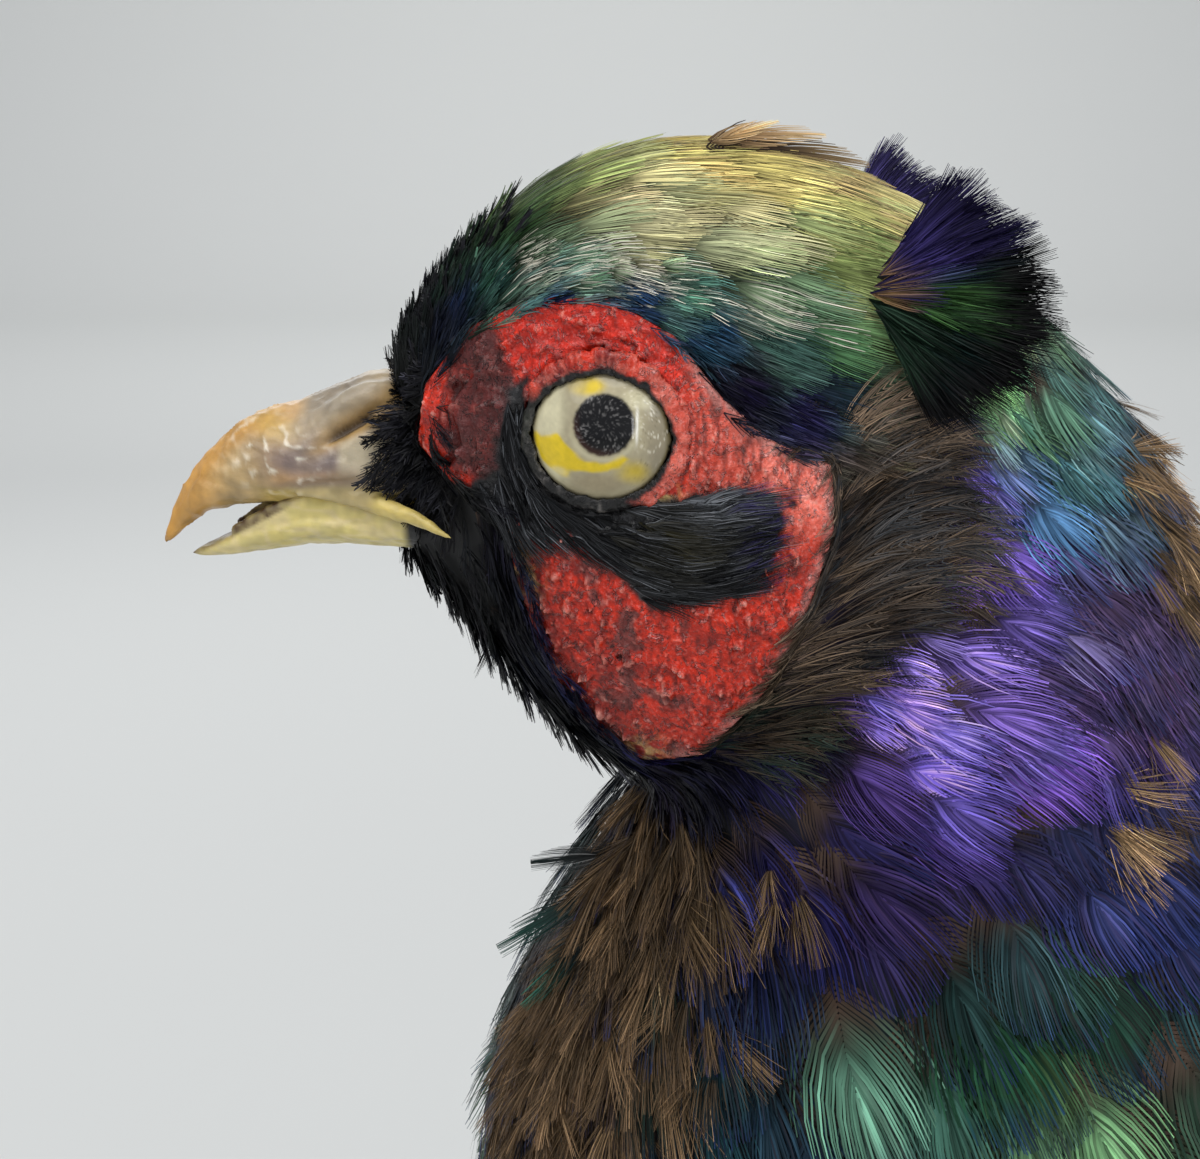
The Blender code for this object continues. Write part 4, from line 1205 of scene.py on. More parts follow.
class PHEASANT_OT_lids(bpy.types.Operator):
    """Makes the thick dark rims round the glass eyes"""

    bl_idname = "pheasant.lids"
    bl_label = "Lids"

    def execute(self, context):
        face = context.scene.pheasant_face
        material = flaky_skin()
        for side, word in SIDES:
            mesh = remeshed("lids_" + word, [welded("lids_" + word)], 0.2 * MM, smooth=3, grow=0.12 * MM)
            points, normals = shape(mesh)
            h = mirrored(points, side)
            ahead, _, up = h.T
            centre = Head.LEFT_EYE if side > 0 else Head.RIGHT_EYE
            opening = off_gaze((points - np.array(centre)) / MM, side)
            bare = ramp(opening + 0.05 * blobs(h, 0.8, 36), 1.035, 1.075) * ramp(up - 0.6 * ahead, -4.5, -2.5)
            bare = bare * (1 - ramp(ahead, 3.6, 5) * (1 - ramp(up, 2.6, 4.2)))
            rough = 0.16 * blobs(h, 1.1, 31) + 0.16 * creases(h, 0.6, 32) ** 2 - 0.05
            rough += bare * ramp(opening, 1.07, 1.2) * (0.9 + 0.7 * ramp(up, 4, 7))
            write_points(mesh, points + normals * (rough * MM)[:, None])
            dust = held(blobs(h, 0.35, 33) * 0.8 + blobs(h, 1.6, 34) * 0.6)
            front = ramp(ahead, 4.2, 6) * (1 - ramp(np.abs(up - 0.5), 3, 4.5))
            flake = ramp(creases(h, 0.5, 37), 0.6, 0.95)
            red = mix(face.red, face.deep_red, held(0.5 + blobs(h, 0.9, 38)))
            red = mix(red, face.pale_red, held(flake * 0.4 + ramp(-ahead, 1, 5) * 0.5))
            layers = ("33352a", front * 0.7 * (0.5 + 0.5 * blobs(h, 0.7, 35))), (red, bare)
            put_colours(mesh, layered(mix("040303", "5c5854", dust**2.4), *layers))
            keep(link("lid_skin_" + word, mesh, material), "lid_black", "lids_" + word)
        return {"FINISHED"}


class PHEASANT_OT_eyes(bpy.types.Operator):
    """Makes the glass eyes with their painted irises"""

    bl_idname = "pheasant.eyes"
    bl_label = "Eyes"

    def execute(self, context):
        face = context.scene.pheasant_face
        material = painted("glass", 0.4, Specular_IOR_Level=0.1, Coat_Weight=0.45, Coat_Roughness=0.03)
        around, rings = 144, np.concatenate([np.linspace(0, 0.95, 62), np.linspace(1.0, math.pi, 16)])
        head_up, head_ahead = np.array(Head.UP), np.array(Head.AHEAD)
        radius = Head.EYE_RADIUS / MM
        for side, word in SIDES:
            centre = Head.LEFT_EYE if side > 0 else Head.RIGHT_EYE
            aside = math.sqrt(radius**2 - PUPIL_AHEAD**2 - PUPIL_UP**2)
            pole = np.array(Head.direct(PUPIL_AHEAD, side * aside, PUPIL_UP).normalized())
            top = unit(head_up - pole * dot(head_up, pole))
            front = unit(head_ahead - pole * dot(head_ahead, pole))
            front = unit(front - top * dot(front, top))
            turn = np.arange(around) * 2 * math.pi / around
            rim = front * np.cos(turn)[:, None] + top * np.sin(turn)[:, None]
            rows = [pole * math.cos(r) + rim * math.sin(r) for r in rings[1:-1]]
            points = np.concatenate([pole[None], *rows, -pole[None]])
            places = [Vector(p) * Head.EYE_RADIUS * 0.993 + centre for p in points]
            near, last = tube(1, len(rows), around), len(points) - 1
            caps = [(0, a, b) for a, b in zip(near[-2], np.roll(near[-2], -1))]
            caps += [(last, b, a) for a, b in zip(near[-1], np.roll(near[-1], -1))]
            mesh = shell("eye_" + word, places, near[:-2] + caps)
            put_colours(mesh, self.colours(points * radius, pole, front, top, off_gaze(points * radius, side), face))
            keep(link("glass_eye_" + word, mesh, material), "glass_eye", "eye_" + word)
        return {"FINISHED"}

    @staticmethod
    def colours(points, pole, front, top, opening, face):
        """The iris's clouds and crescents, the dusty pupil and a painted highlight sliver at the pupil's edge."""
        x, y = points @ front, points @ top
        reach = np.hypot(x, y)
        behind = points @ pole < 0
        gold = np.array(face.iris_gold)
        cream, dusty, olive = tints("d3cca9 8f8670 6a5c36")
        cloud = blobs(points, 2.4, 41) + 0.4 * blobs(points, 0.9, 47)
        fine = blobs(points, 0.5, 45)

        def spot(ahead, up, long, high):
            return np.exp(-((((x - ahead) / long) ** 2 + ((y - up) / high) ** 2) ** 2))

        colour = layered(
            np.array(face.iris),
            (cream, ramp(x + 0.5 * cloud, 2.9, 4.8) * 0.85),
            (dusty, ramp(-x + 0.6 * cloud, 3.0, 4.6) * 0.75),
            (cream, spot(-3.0, 2.2, 1.6, 0.9) * 0.6),
            (dusty * 0.8, spot(1.6, 4.2, 3.4, 0.8) * 0.45 + spot(3.2, 1.6, 0.7, 2.2) * 0.3),
            ("9d9072", spot(0.6, -5.1, 2.4, 0.9) * 0.9),
            (gold * 0.85, spot(1.6, 3.3, 1.5, 0.8) * (0.75 + 0.5 * cloud)),
            (gold * 0.8, spot(-2.4, -4.0, 1.4, 1.0) * (0.6 + 0.5 * cloud)),
            (gold, ramp(inset(GOLD_SWEEP, x, y) + 0.25 * blobs(points, 0.9, 48), -0.2, 0.2) * 0.95),
            (cream, spot(4.3, -4.2, 1.0, 0.5) * 0.6),
            (olive, ramp(opening, 0.9, 0.97) * (0.45 + 0.4 * ramp(-x, 1, 5) + 0.4 * fine)),
        )
        dust = ramp(blobs(points, 0.13, 42) + 0.5 * fine, 0.45, 0.85) * ramp(-x + 0.3 * y, 1.0, 4.5)
        grime = ramp(blobs(points, 0.17, 50) + 0.3 * fine, 0.4, 0.85) * ramp(-x, 1, 4)
        # painted highlight: a thin bright glint of light along the pupil's rear edge
        painted_glint_sliver = np.exp(-(((x + PUPIL_RADIUS + 0.12) / 0.1) ** 2) - (y / 1.5) ** 4)
        edge = PUPIL_RADIUS + 0.07 * blobs(points, 0.25, 51)
        speck = ramp(blobs(points, 0.14, 43) + 0.45 * blobs(points, 0.6, 44), 0.1, 0.9) ** 1.5
        ragged = opening + 0.03 * blobs(points, 0.7, 52) + 0.02 * blobs(points, 0.25, 53)
        black = layered(
            np.array(face.pupil),
            ("8d8a88", speck * (0.35 + 0.3 * ramp(reach, 1, 2.4))),
            ("3a1a0c", ramp(reach, 1.9, 2.5) * ramp(x - y, 0.5, 3) * 0.6),
        )
        return layered(
            colour * (1 + 0.1 * fine + 0.06 * blobs(points, 0.2, 46))[:, None],
            ("f4eeda", dust * 0.6),
            (olive * 0.5, grime * 0.45),
            (cream * 0.9, bell(reach, PUPIL_RADIUS + 0.3, 0.22) * 0.5 * ramp(-y - 0.3 * x, -1, 1.5)),
            ("fbf9ef", painted_glint_sliver * ~behind * 0.95),
            (black, (1 - ramp(reach, edge - 0.2, edge + 0.1)) * ~behind),
            ("080607", ramp(ragged, 0.965, 0.99) + behind),
            (face.deep_red, ramp(opening, 1.06, 1.12) * ~behind * ramp(y - 0.4 * x, -4, -2)),
        )


# ---- bill ----
NOSTRIL = (20.9, 1.9)  # ahead and up of the swelling's middle, millimetres
# the bill's ridge and cutting edge and how far the ridge is raised: ahead, then up, millimetres
CULMEN = ((9, 14.5, 20, 24.3, 28, 32.5, 36.2, 39.2, 41.4), (-1.5, 2.4, 3.4, 1.9, 0.4, -2.3, -5.6, -9.3, -13.4))
TOMIUM = ((20, 26.6, 30, 33.3, 35.2, 37.1, 39, 41.4), (-8.3, -7.5, -7.8, -8.7, -9.8, -11.0, -12.2, -13.6))
CULMEN_RISE = ((28, 33, 36.4, 39.5, 41.2), (0, 1.4, 1.7, 1.9, 0.4))
# strips of horn: ahead, aside and up of their middle, half their height and half their thickness, millimetres
GAPE = table("""
    28 4.6 -6.9 .4 .3; 24.5 4.8 -7.5 .8 .6; 21.5 5.6 -8.1 .9 .8; 19 6.9 -8.7 .85 .9; 17 8.3 -9.1 .65 .8;
    15.2 9.5 -9.8 .4 .6; 13.4 10.7 -10.5 .12 .2
""")
MANDIBLE_EDGE = table("""
    34 1.9 -11.8 .3 .3; 31.5 2.5 -10.7 1 .45; 29.5 3 -10 1.5 .5; 27 3.3 -9.8 1.9 .55; 24 3.7 -9.9 1.9 .6;
    21 4.5 -10.1 1.8 .6; 18.5 5.6 -10.5 1.3 .6; 16.5 6.6 -10.9 .8 .4
""")


def horn_strip(name, stations):
    """A closed tapering strip on each side of the head through these stations."""
    turns = np.linspace(0, 2 * math.pi, 12, endpoint=False)
    points, faces = [], []
    for side, _ in SIDES:
        faces += tube(len(points) * 12, len(stations), 12)
        for ahead, aside, up, high, thick in stations:
            ring = [np.full(12, ahead), side * (aside + thick * np.cos(turns)), up + high * np.sin(turns)]
            points.append(Head.write(np.stack(ring, axis=1)))
    return shell(name, np.concatenate(points), faces)


def bill_form(h, upper):
    """Head places on the bill moved to its outline: a rounder ridge, a deeper cutting edge, a longer tip."""
    ahead, up = h[:, 0].copy(), h[:, 2].copy()
    if not upper:
        h[:, 0] += 0.1 * np.maximum(ahead - 28, 0)
        return h
    edge = np.interp(ahead, *TOMIUM)
    share = held((up - edge) / (np.interp(ahead, *CULMEN) - edge))
    h[:, 2] += np.interp(ahead, *CULMEN_RISE) * share
    h[:, 2] += 0.6 * bell(ahead, 37.2, 2.4) * (1 - share)
    h[:, 2] -= 0.6 * bell(ahead, 30, 3.6) * (1 - share)
    return h


def nostril(h):
    """The swelling over the nostril, the ochre skin below it and the slit, each 0 to 1."""
    x, y = h[:, 0] - NOSTRIL[0], h[:, 2] - NOSTRIL[1]
    along, across = x + 0.45 * y, y + 0.55 * x
    outer = ramp(np.abs(h[:, 1]), 1.6, 3.2)
    ovals = ((0, 0, 3.4, 1.5), (-0.6, -2.1, 3.6, 1.0), (0.6, -2.0, 1.6, 0.38))
    return [oval(along, across, *numbers, power=4) * outer for numbers in ovals]


def bill_relief(h):
    """Swelling over the nostril, the slit below it, and the worn, flaking horn."""
    ahead, aside, up = h[:, 0], np.abs(h[:, 1]), h[:, 2]
    swell, ochre, slit = nostril(h)
    worn = 0.12 * creases(stretched(h, 0.6, 1, 1), 1.3, 51) ** 4 + 0.06 * blobs(h, 0.8, 52)
    worn += 0.14 * oval(ahead, up, 30, -4.2, 5, 3) * creases(stretched(h, 0.6, 1, 1), 0.9, 56) ** 3
    edge = bell(up + 6.6 + 0.13 * (ahead - 26), 0, 0.35) * ramp(aside, 1, 2)
    return 1.0 * swell - 0.6 * ochre - 0.7 * slit + worn - 0.16 * edge


def bill_colours(h, upper, face, lie_up):
    """Colours of the bill's horn, its worn and grey places and the skin at its base, and black painted shade where the
    feathers cover it.
    """
    ahead, up = h[:, 0], h[:, 2]
    horn, ridge, grey = (np.array(tone) for tone in (face.horn, face.horn_ridge, face.horn_grey))
    pale, brown, black = tints("d9c698 4c331c 0c0b0b")
    noise, fine = blobs(h, 2.0, 53), blobs(h, 0.6, 54)
    grain = 1 + 0.16 * noise + 0.14 * fine + 0.12 * blobs(stretched(h, 0.15, 1, 1), 0.4, 57)
    if not upper:
        scratch = ramp(creases(stretched(h, 0.35, 1, 1), 0.8, 55), 0.7, 0.95) * 0.5
        colour = layered(tint("e0cf8a"), ("c2b268", 0.4 + 0.6 * noise), (pale, scratch))
        tissue = ramp(up - (-8.9 - 0.62 * (ahead - 29)), -0.6, -0.1) * ramp(ahead, 28, 29.5) * held(0.7 + 0.5 * fine)
        floor = ramp(lie_up, 0.75, 0.95) * ramp(-np.abs(h[:, 1]), -3.4, -2.6)
        # painted shade: black on the lower bill's rear, under the feathers
        hidden = (black, 1 - ramp(ahead, 17.4, 18.4))
        return layered(colour * grain[:, None], (brown, np.maximum(tissue, floor)), hidden)
    patch = oval(ahead, up, 26.4, -4.4, 4.6, 2.4)
    top = np.interp(ahead, *CULMEN) - up
    strip = ramp(-up - np.interp(ahead, (13, 17, 21), (9.2, 8.0, 6.9)), -0.3, 0.5) * (1 - ramp(ahead, 20, 22))
    swell, ochre, slit = nostril(h)
    scuff = ramp(creases(stretched(h, 0.6, 1, 1), 0.9, 56) + 0.35 * fine, 0.8, 1.1)
    scuff = scuff * oval(ahead, up, 30, -4.4, 4, 2.4)
    colour = layered(
        horn,
        (grey, patch * 1.3 + 0.25 * noise * patch),
        ("8a7a64", ramp(2.6 - top, 0, 1.5) * ramp(ahead, 20, 23) * (1 - ramp(ahead, 26.5, 28)) * 0.8),
        (ridge, ramp(2.1 - top, 0, 1.5) * ramp(ahead, 26.5, 28.5) * 0.8),
        (ridge, ramp(ahead, 33.5, 38) * 0.75),
        (ridge * 0.8, bell(up, -5.9, 0.7) * ramp(ahead, 21, 24) * (1 - ramp(ahead, 29, 31)) * 0.6),
        ("cdb04e", ramp(-up, 6.4, 7.2) * (1 - ramp(ahead, 29, 33)) * 0.85),
        ("d6c070", strip * 0.85),
        ("d8b25a", oval(ahead, up, 29.8, -2.2, 2.6, 1.2) * 0.6),
        (pale, ramp(24.4 - ahead, 0, 1) * ramp(up, -6.5, -4) * (1 - ramp(up, -2.6, -1.6)) * 0.7),
        ("a59476", held(swell * 1.2) * 0.8),
        ("c08f20", held(ochre * 1.6) * 0.9),
        (brown, held(slit * 1.4) * 0.85),
        ("efe6d0", held(scuff * 1.3) * 0.8),
    )
    plain = (colour @ np.array((0.3, 0.55, 0.15)))[:, None] * (1.0, 0.96, 0.86)
    # painted shade: black on the horn where the feathers cover the bill's base
    hidden = ramp(np.interp(up, *BILL_FEATHERS) - ahead, 2.2, 3.2) * (1 - strip) * ramp(up, -8.2, -7.4)
    colour = mix(colour, plain, 0.35 * (1 - ramp(ahead, 27, 31)) * (1 - strip)) * (grain * 0.9)[:, None]
    return mix(colour, black, hidden)


class PHEASANT_OT_bill(bpy.types.Operator):
    """Makes the bill's two halves with the nostrils' swellings"""

    bl_idname = "pheasant.bill"
    bl_label = "Bill"

    def execute(self, context):
        face = context.scene.pheasant_face
        soft = {"Subsurface_Weight": 0.1, "Subsurface_Radius": (1.2 * MM, 0.8 * MM, 0.4 * MM)}
        material = painted("horn", 0.4, grain=(2200, 0.07 * MM), Coat_Weight=0.1, Coat_Roughness=0.3, **soft)
        for node, strips in (("bill_upper", GAPE), ("bill_lower", MANDIBLE_EDGE)):
            parts = [welded(node), horn_strip(node + "_strip", strips)]
            mesh = remeshed(node, parts, 0.24 * MM, smooth=5, grow=0.05 * MM)
            points, normals = shape(mesh)
            h = Head.read(points)
            upper = node == "bill_upper"
            if upper:
                relief = bill_relief(h)
            else:
                relief = 0.08 * blobs(h, 0.7, 58) + 0.06 * creases(stretched(h, 0.3, 1, 1), 1, 59)
            put_colours(mesh, bill_colours(h, upper, face, normals[:, 2]))
            write_points(mesh, Head.write(bill_form(Head.read(points + normals * (relief * MM)[:, None]), upper)))
            keep(link(node.replace("bill", "horn"), mesh, material), "horn_bill", node)
        return {"FINISHED"}


# ---- coat ----
def feather_material():
    return painted("feather", 0.42, gloss=True, Specular_IOR_Level=0.14)


def stream(context, offset):
    """The random numbers of one step, always the same."""
    return np.random.default_rng(context.scene.pheasant_coat.seed * 100 + offset)


def cover(name, host, roots, vane, rng, paint, slot, parts=1, size=None, **more):
    """Grows this kind of feather from these roots in one or more pieces."""
    order = np.argsort(roots.points @ np.array((1.0, 0.35, 0)))
    for k, chosen in enumerate(np.array_split(order, parts)):
        sizes = None if size is None else size[chosen]
        some = roots.pick(chosen)
        piece = f"{name}_{k + 1}" if parts > 1 else name
        depth = some.values.get("depth")
        keep(grow(piece, host, some, vane, rng, paint, feather_material(), size=sizes, depth=depth, **more), slot)


CROWN_VANE = Vane(
    11, 2.6, 14, steps=4, barb_width=0.155, fray=0.008, split=0.025, camber=0.1, swing=3, roll=0.25, tip_lift=0.75,
    tip=0.3, gather=0.5
)
BROW_VANE = Vane(4.6, 1.1, 8, barb_width=0.12, fray=0.03, split=0.05, swing=6, tip=0.35, roll=0.5)
CHEEK_VANE = Vane(7, 2, 10, barb_width=0.17, fray=0.03, split=0.05, swing=5, tip=0.35, roll=0.5)
BRISTLE_VANE = Vane(5.4, 1, 6, barb_width=0.14, reach=0.8, fray=0.1, split=0.12, swing=16, curl=0.12, roll=0.8)
SPIKE_VANE = Vane(
    3.6, 0.5, 6, steps=2, barb_width=0.12, reach=0.9, fray=0.08, split=0.1, swing=14, curl=0.15, roll=0.8,
    tip_lift=0.9
)
MUZZLE_VANE = Vane(3.6, 0.8, 7, barb_width=0.12, reach=0.8, fray=0.06, split=0.1, swing=12, curl=0.1, roll=0.8)
BAND_VANE = Vane(6.2, 0.9, 8, barb_width=0.1, fray=0.03, split=0.05, swing=5, roll=0.6, tip=0.4, gather=0.2, bow=1.6)
RIM_VANE = Vane(4.2, 0.8, 5, steps=2, barb_width=0.12, reach=0.8, fray=0.08, split=0.08, swing=9, roll=0.8)
PLUME_VANE = Vane(9.2, 1.9, 12, steps=4, barb_width=0.08, reach=0.9, start=0, fray=0.04, split=0.06, swing=5, roll=0.7)
TUFT_VANE = Vane(7.2, 1.3, 9, barb_width=0.13, fray=0.05, split=0.06, swing=4, roll=0.6, tip=0.3, gather=0.15, bow=1.6)
NECK_VANE = Vane(
    11.5, 4.3, 23, steps=4, barb_width=0.2, fray=0.012, split=0.05, swing=4, roll=0.35, camber=0.2, tip=0.32,
    gather=0.6, bow=2.2
)
STRAY_VANE = Vane(
    16, 2.6, 20, steps=4, barb_width=0.16, fray=0.05, split=0.2, swing=0, roll=0.6, tip=0.5, gather=0.5, root_lift=0,
    tip_lift=0
)
BODY_VANE = Vane(
    24, 9.5, 20, steps=4, barb_width=0.62, fray=0.02, split=0.1, swing=6, shaft=0.3, tip=0.35, gather=0.6, bow=2
)
COVERT_VANE = Vane(24, 8.5, 24, barb_width=0.5, reach=0.34, fray=0.02, split=0.06, swing=3, shaft=0.5, camber=0.2)
FLIGHT_VANE = Vane(
    110, 8.5, 90, barb_width=0.75, reach=0.08, fray=0.01, split=0.02, swing=0.8, shaft=1.1, camber=0.15, widest=0.8
)
TAIL_VANE = Vane(
    330, 11, 150, barb_width=1.1, reach=0.05, fray=0.008, split=0.015, swing=0.5, shaft=1.6, camber=0.15, widest=0.5,
    blunt=1.4
)
DOWN_VANE = Vane(
    8.5, 3, 34, steps=4, barb_width=0.07, fray=0.2, split=0.12, swing=20, roll=1, tip=0.6, gather=0.05, bow=1,
    root_lift=0.1, tip_lift=1.3
)

# lies of single kinds of feather on the left of the head: place, then heading
BAND_LIE = table("""
    12 12 -6 -.5 0 -.85; 7.5 14 2 -.1 0 -1; 7 15 -4 -.55 0 -.85; 2 16 -7.5 -.85 0 -.55; -3 18 -11 -.95 0 -.35;
    -8 19 -13 -1 0 .15; -5 18 -7 -.98 0 -.15; -12 19 -7 -.98 0 .2; -13 19 -11 -.85 0 .5
""")
MUZZLE_LIE = table("""
    17 0 5 .7 0 .75; 20 0 1 .95 0 -.1; 21 0 -3 .9 0 -.45; 18 0 -7 .55 0 -.8; 15 0 -9 .2 0 -1
""")
# how far ahead the feathers reach over the bill at each height, millimetres
BILL_FEATHERS = table("""
    -10.2 -8.8 -7.8 -6.4 -5.3 -4.5 -1.6 1.2 3.5; 14.5 16 17.7 19.2 20.8 22 21 19.5 18.5
""")
SPIKE_LIE = table("""
    19 0 5 .6 0 .8; 16 0 12 -.35 0 1; 9 0 19 -.9 0 .55; 18 0 -12 .3 0 -1; 14 0 -20 -.05 0 -1; 7 0 -28 -.5 0 -.9
""")
EAR_LIE = table("""
    -19 18 -1 -.6 0 .8; -20 18 -8 -.72 0 .7; -17 18 -16 -.78 0 .62; -13 17 -25 -.85 0 .5; -9 13 -32 -.98 0 .1;
    -27 18 0 -.95 0 .25; -28 18 -10 -1 0 .05; -24 18 -20 -.97 0 .08; -20 18 -28 -.93 0 -.15;
    -14 13 -35 -1 0 -.2; -34 16 -4 -.85 0 -.45; -37 18 -14 -.8 0 -.6; -31 19 -24 -.85 0 -.5;
    -23 17 -35 -.9 0 -.35
""")
# where the ear's plumes grow: an outline on the head's side, (ahead, up)
EAR_PATCH = table("""
    -19 -1.2; -23.4 -.4; -26.5 -3.6; -28.5 -9; -26.5 -14.5; -21 -19.5; -16 -25.5; -11 -30.5; -8 -31.5;
    -9.6 -29.6; -14.8 -22.8; -18.2 -15; -20 -8; -19.8 -2.6
""")
# the tuft's root as a head place, and its reach in millimetres at these turns
TUFT_ROOT = (-22.6, 15.4, 12.2)
TUFT_TURNS = (-62, -37, -23, -7, 8, 22, 39, 60)  # degrees above straight back
TUFT_LENGTHS = (9.6, 12.2, 12.4, 12.2, 12.0, 11.4, 10.2, 9.8)
# patches of brown down: head place, reach in millimetres, brightness
DOWN_SPOTS = table("""
    -44.5 20.7 -33 3.9 1.7; -49.5 18.5 -35 3.7 1.1; -50 17 -26.5 3.9 1.3; -49 7 -3 5 .9; -52 6 -11 5 .8;
    -14.5 15.5 -42.5 3.6 .6; -20.5 19.8 -42.5 3 .9; -7 6 -44 6 .5; -1 -2 -50 7 .55; 2 -6 -58 7 .6;
    3 -8 -68 8 .6; 6 -12 -80 8 .5; -8 10 -58 5 .5; -30 26 -84 5 .8; -50 34 -78 5 .8
""")


def downy_paint(roots, along, across, barb_share, each_barb, rng):
    """Soft brown down, each patch with its own paleness."""
    h = Head.read(roots.points)
    h[:, 1:] = np.abs(h[:, 1:]) * (1, -1)
    spots = np.column_stack([DOWN_SPOTS[:, 0], np.abs(DOWN_SPOTS[:, 1]), DOWN_SPOTS[:, 2:]])
    nearest = np.argmin(((h[:, None] - spots[None, :, :3]) ** 2).sum(axis=2), axis=1)
    root, middle, tip = tints("43352a 7c6549 8a6f52")
    colour = mix(mix(root, middle, ramp(along, 0, 0.5)), tip, ramp(along, 0.5, 1))
    bright = spots[nearest, 4][:, None] * np.exp(rng.normal(0, 0.35, (len(h), 1)) + 0.5 * each_barb())
    return colour * bright[..., None], np.zeros(along.shape)


def ear_paint(roots, along, across, barb_share, each_barb, rng):
    """Brown hair-like plumes with a grey-blue sheen half-way and a pale edge by the face."""
    ahead, _, up, depth = on_head_side(roots.points)
    rim = ramp(1.6 + depth, 0, 1.2) * ramp(-ahead, 12, 17)
    brown = mix("3a2d22", "7c6854", held(0.4 + blobs(roots.points, 4 * MM, 61) + 0.4 * ramp(up, -9, -2)))
    clump = 0.5 + 0.75 * blobs(roots.points * (1, 1, 2.2), 2.6 * MM, 65)
    colour = mix("070606", brown[:, None], np.clip((0.15 + clump[:, None]) * np.exp(0.7 * each_barb()), 0.0, 1.6))
    sheen = ramp(along, 0.25, 0.7) * bell(up, -11, 9)[:, None] * rng.uniform(0.1, 1, (len(up), 1))
    low = ramp(-up, 22, 30)[:, None] * ramp(along, 0.2, 0.7) * rng.uniform(0, 0.8, (len(up), 1))
    pale = rim[:, None] * (1 - ramp(along, 0.05, 0.3))
    return layered(colour, ("56626c", sheen * 0.5), ("1f4038", low), ("8f7870", pale * 0.6)), 0.25 * sheen + 0.05


def black_paint(roots, along, across, barb_share, each_barb, rng):
    """Black with grey on the barbs, partly dust near the face's upper edge and partly painted sheen, and violet painted
    sheen at the rear.
    """
    ahead, _, up = Head.read(roots.points).T
    dust = ramp(up, -9, -5) * ramp(-ahead, 2, 5) * 0.4 + 0.1
    # grey strokes on the barbs: painted sheen everywhere, with dust added near the face's upper edge
    grey = dust[:, None] * rng.uniform(0.2, 1.2, (len(up), 1)) * np.exp(1.1 * each_barb())
    # violet at the rear: painted sheen on the barbs' ends
    violet = ramp(-ahead, 7, 10)[:, None] * ramp(along, 0.5, 0.9) * ramp(each_barb(), 0.3, 1.2)
    olive = np.exp(-(((ahead + 3.5) ** 2 + (up + 9) ** 2) / 5)) * rng.uniform(0, 1, len(up))
    layers = ("74777c", grey), ("3a2a80", violet * 0.7), ("5a5436", olive[:, None] * 0.6)
    return layered(np.broadcast_to(tint("040405"), (*along.shape, 3)), *layers), np.full(along.shape, 0.05)


def where(test, side=1):
    """A test for scatter, made from one that is told the points' places on the head and how far inside the face."""

    def wanted(points, values):
        return test(*on_head_side(points, side), values)

    return wanted


def host_of(*pieces):
    """These finished pieces as one surface, so that feathers at an edge run on over the next."""
    mesh = joined("shared_host", [bpy.data.objects[name].data for name in pieces])
    host = Host(mesh)
    bpy.data.meshes.remove(mesh)
    return host


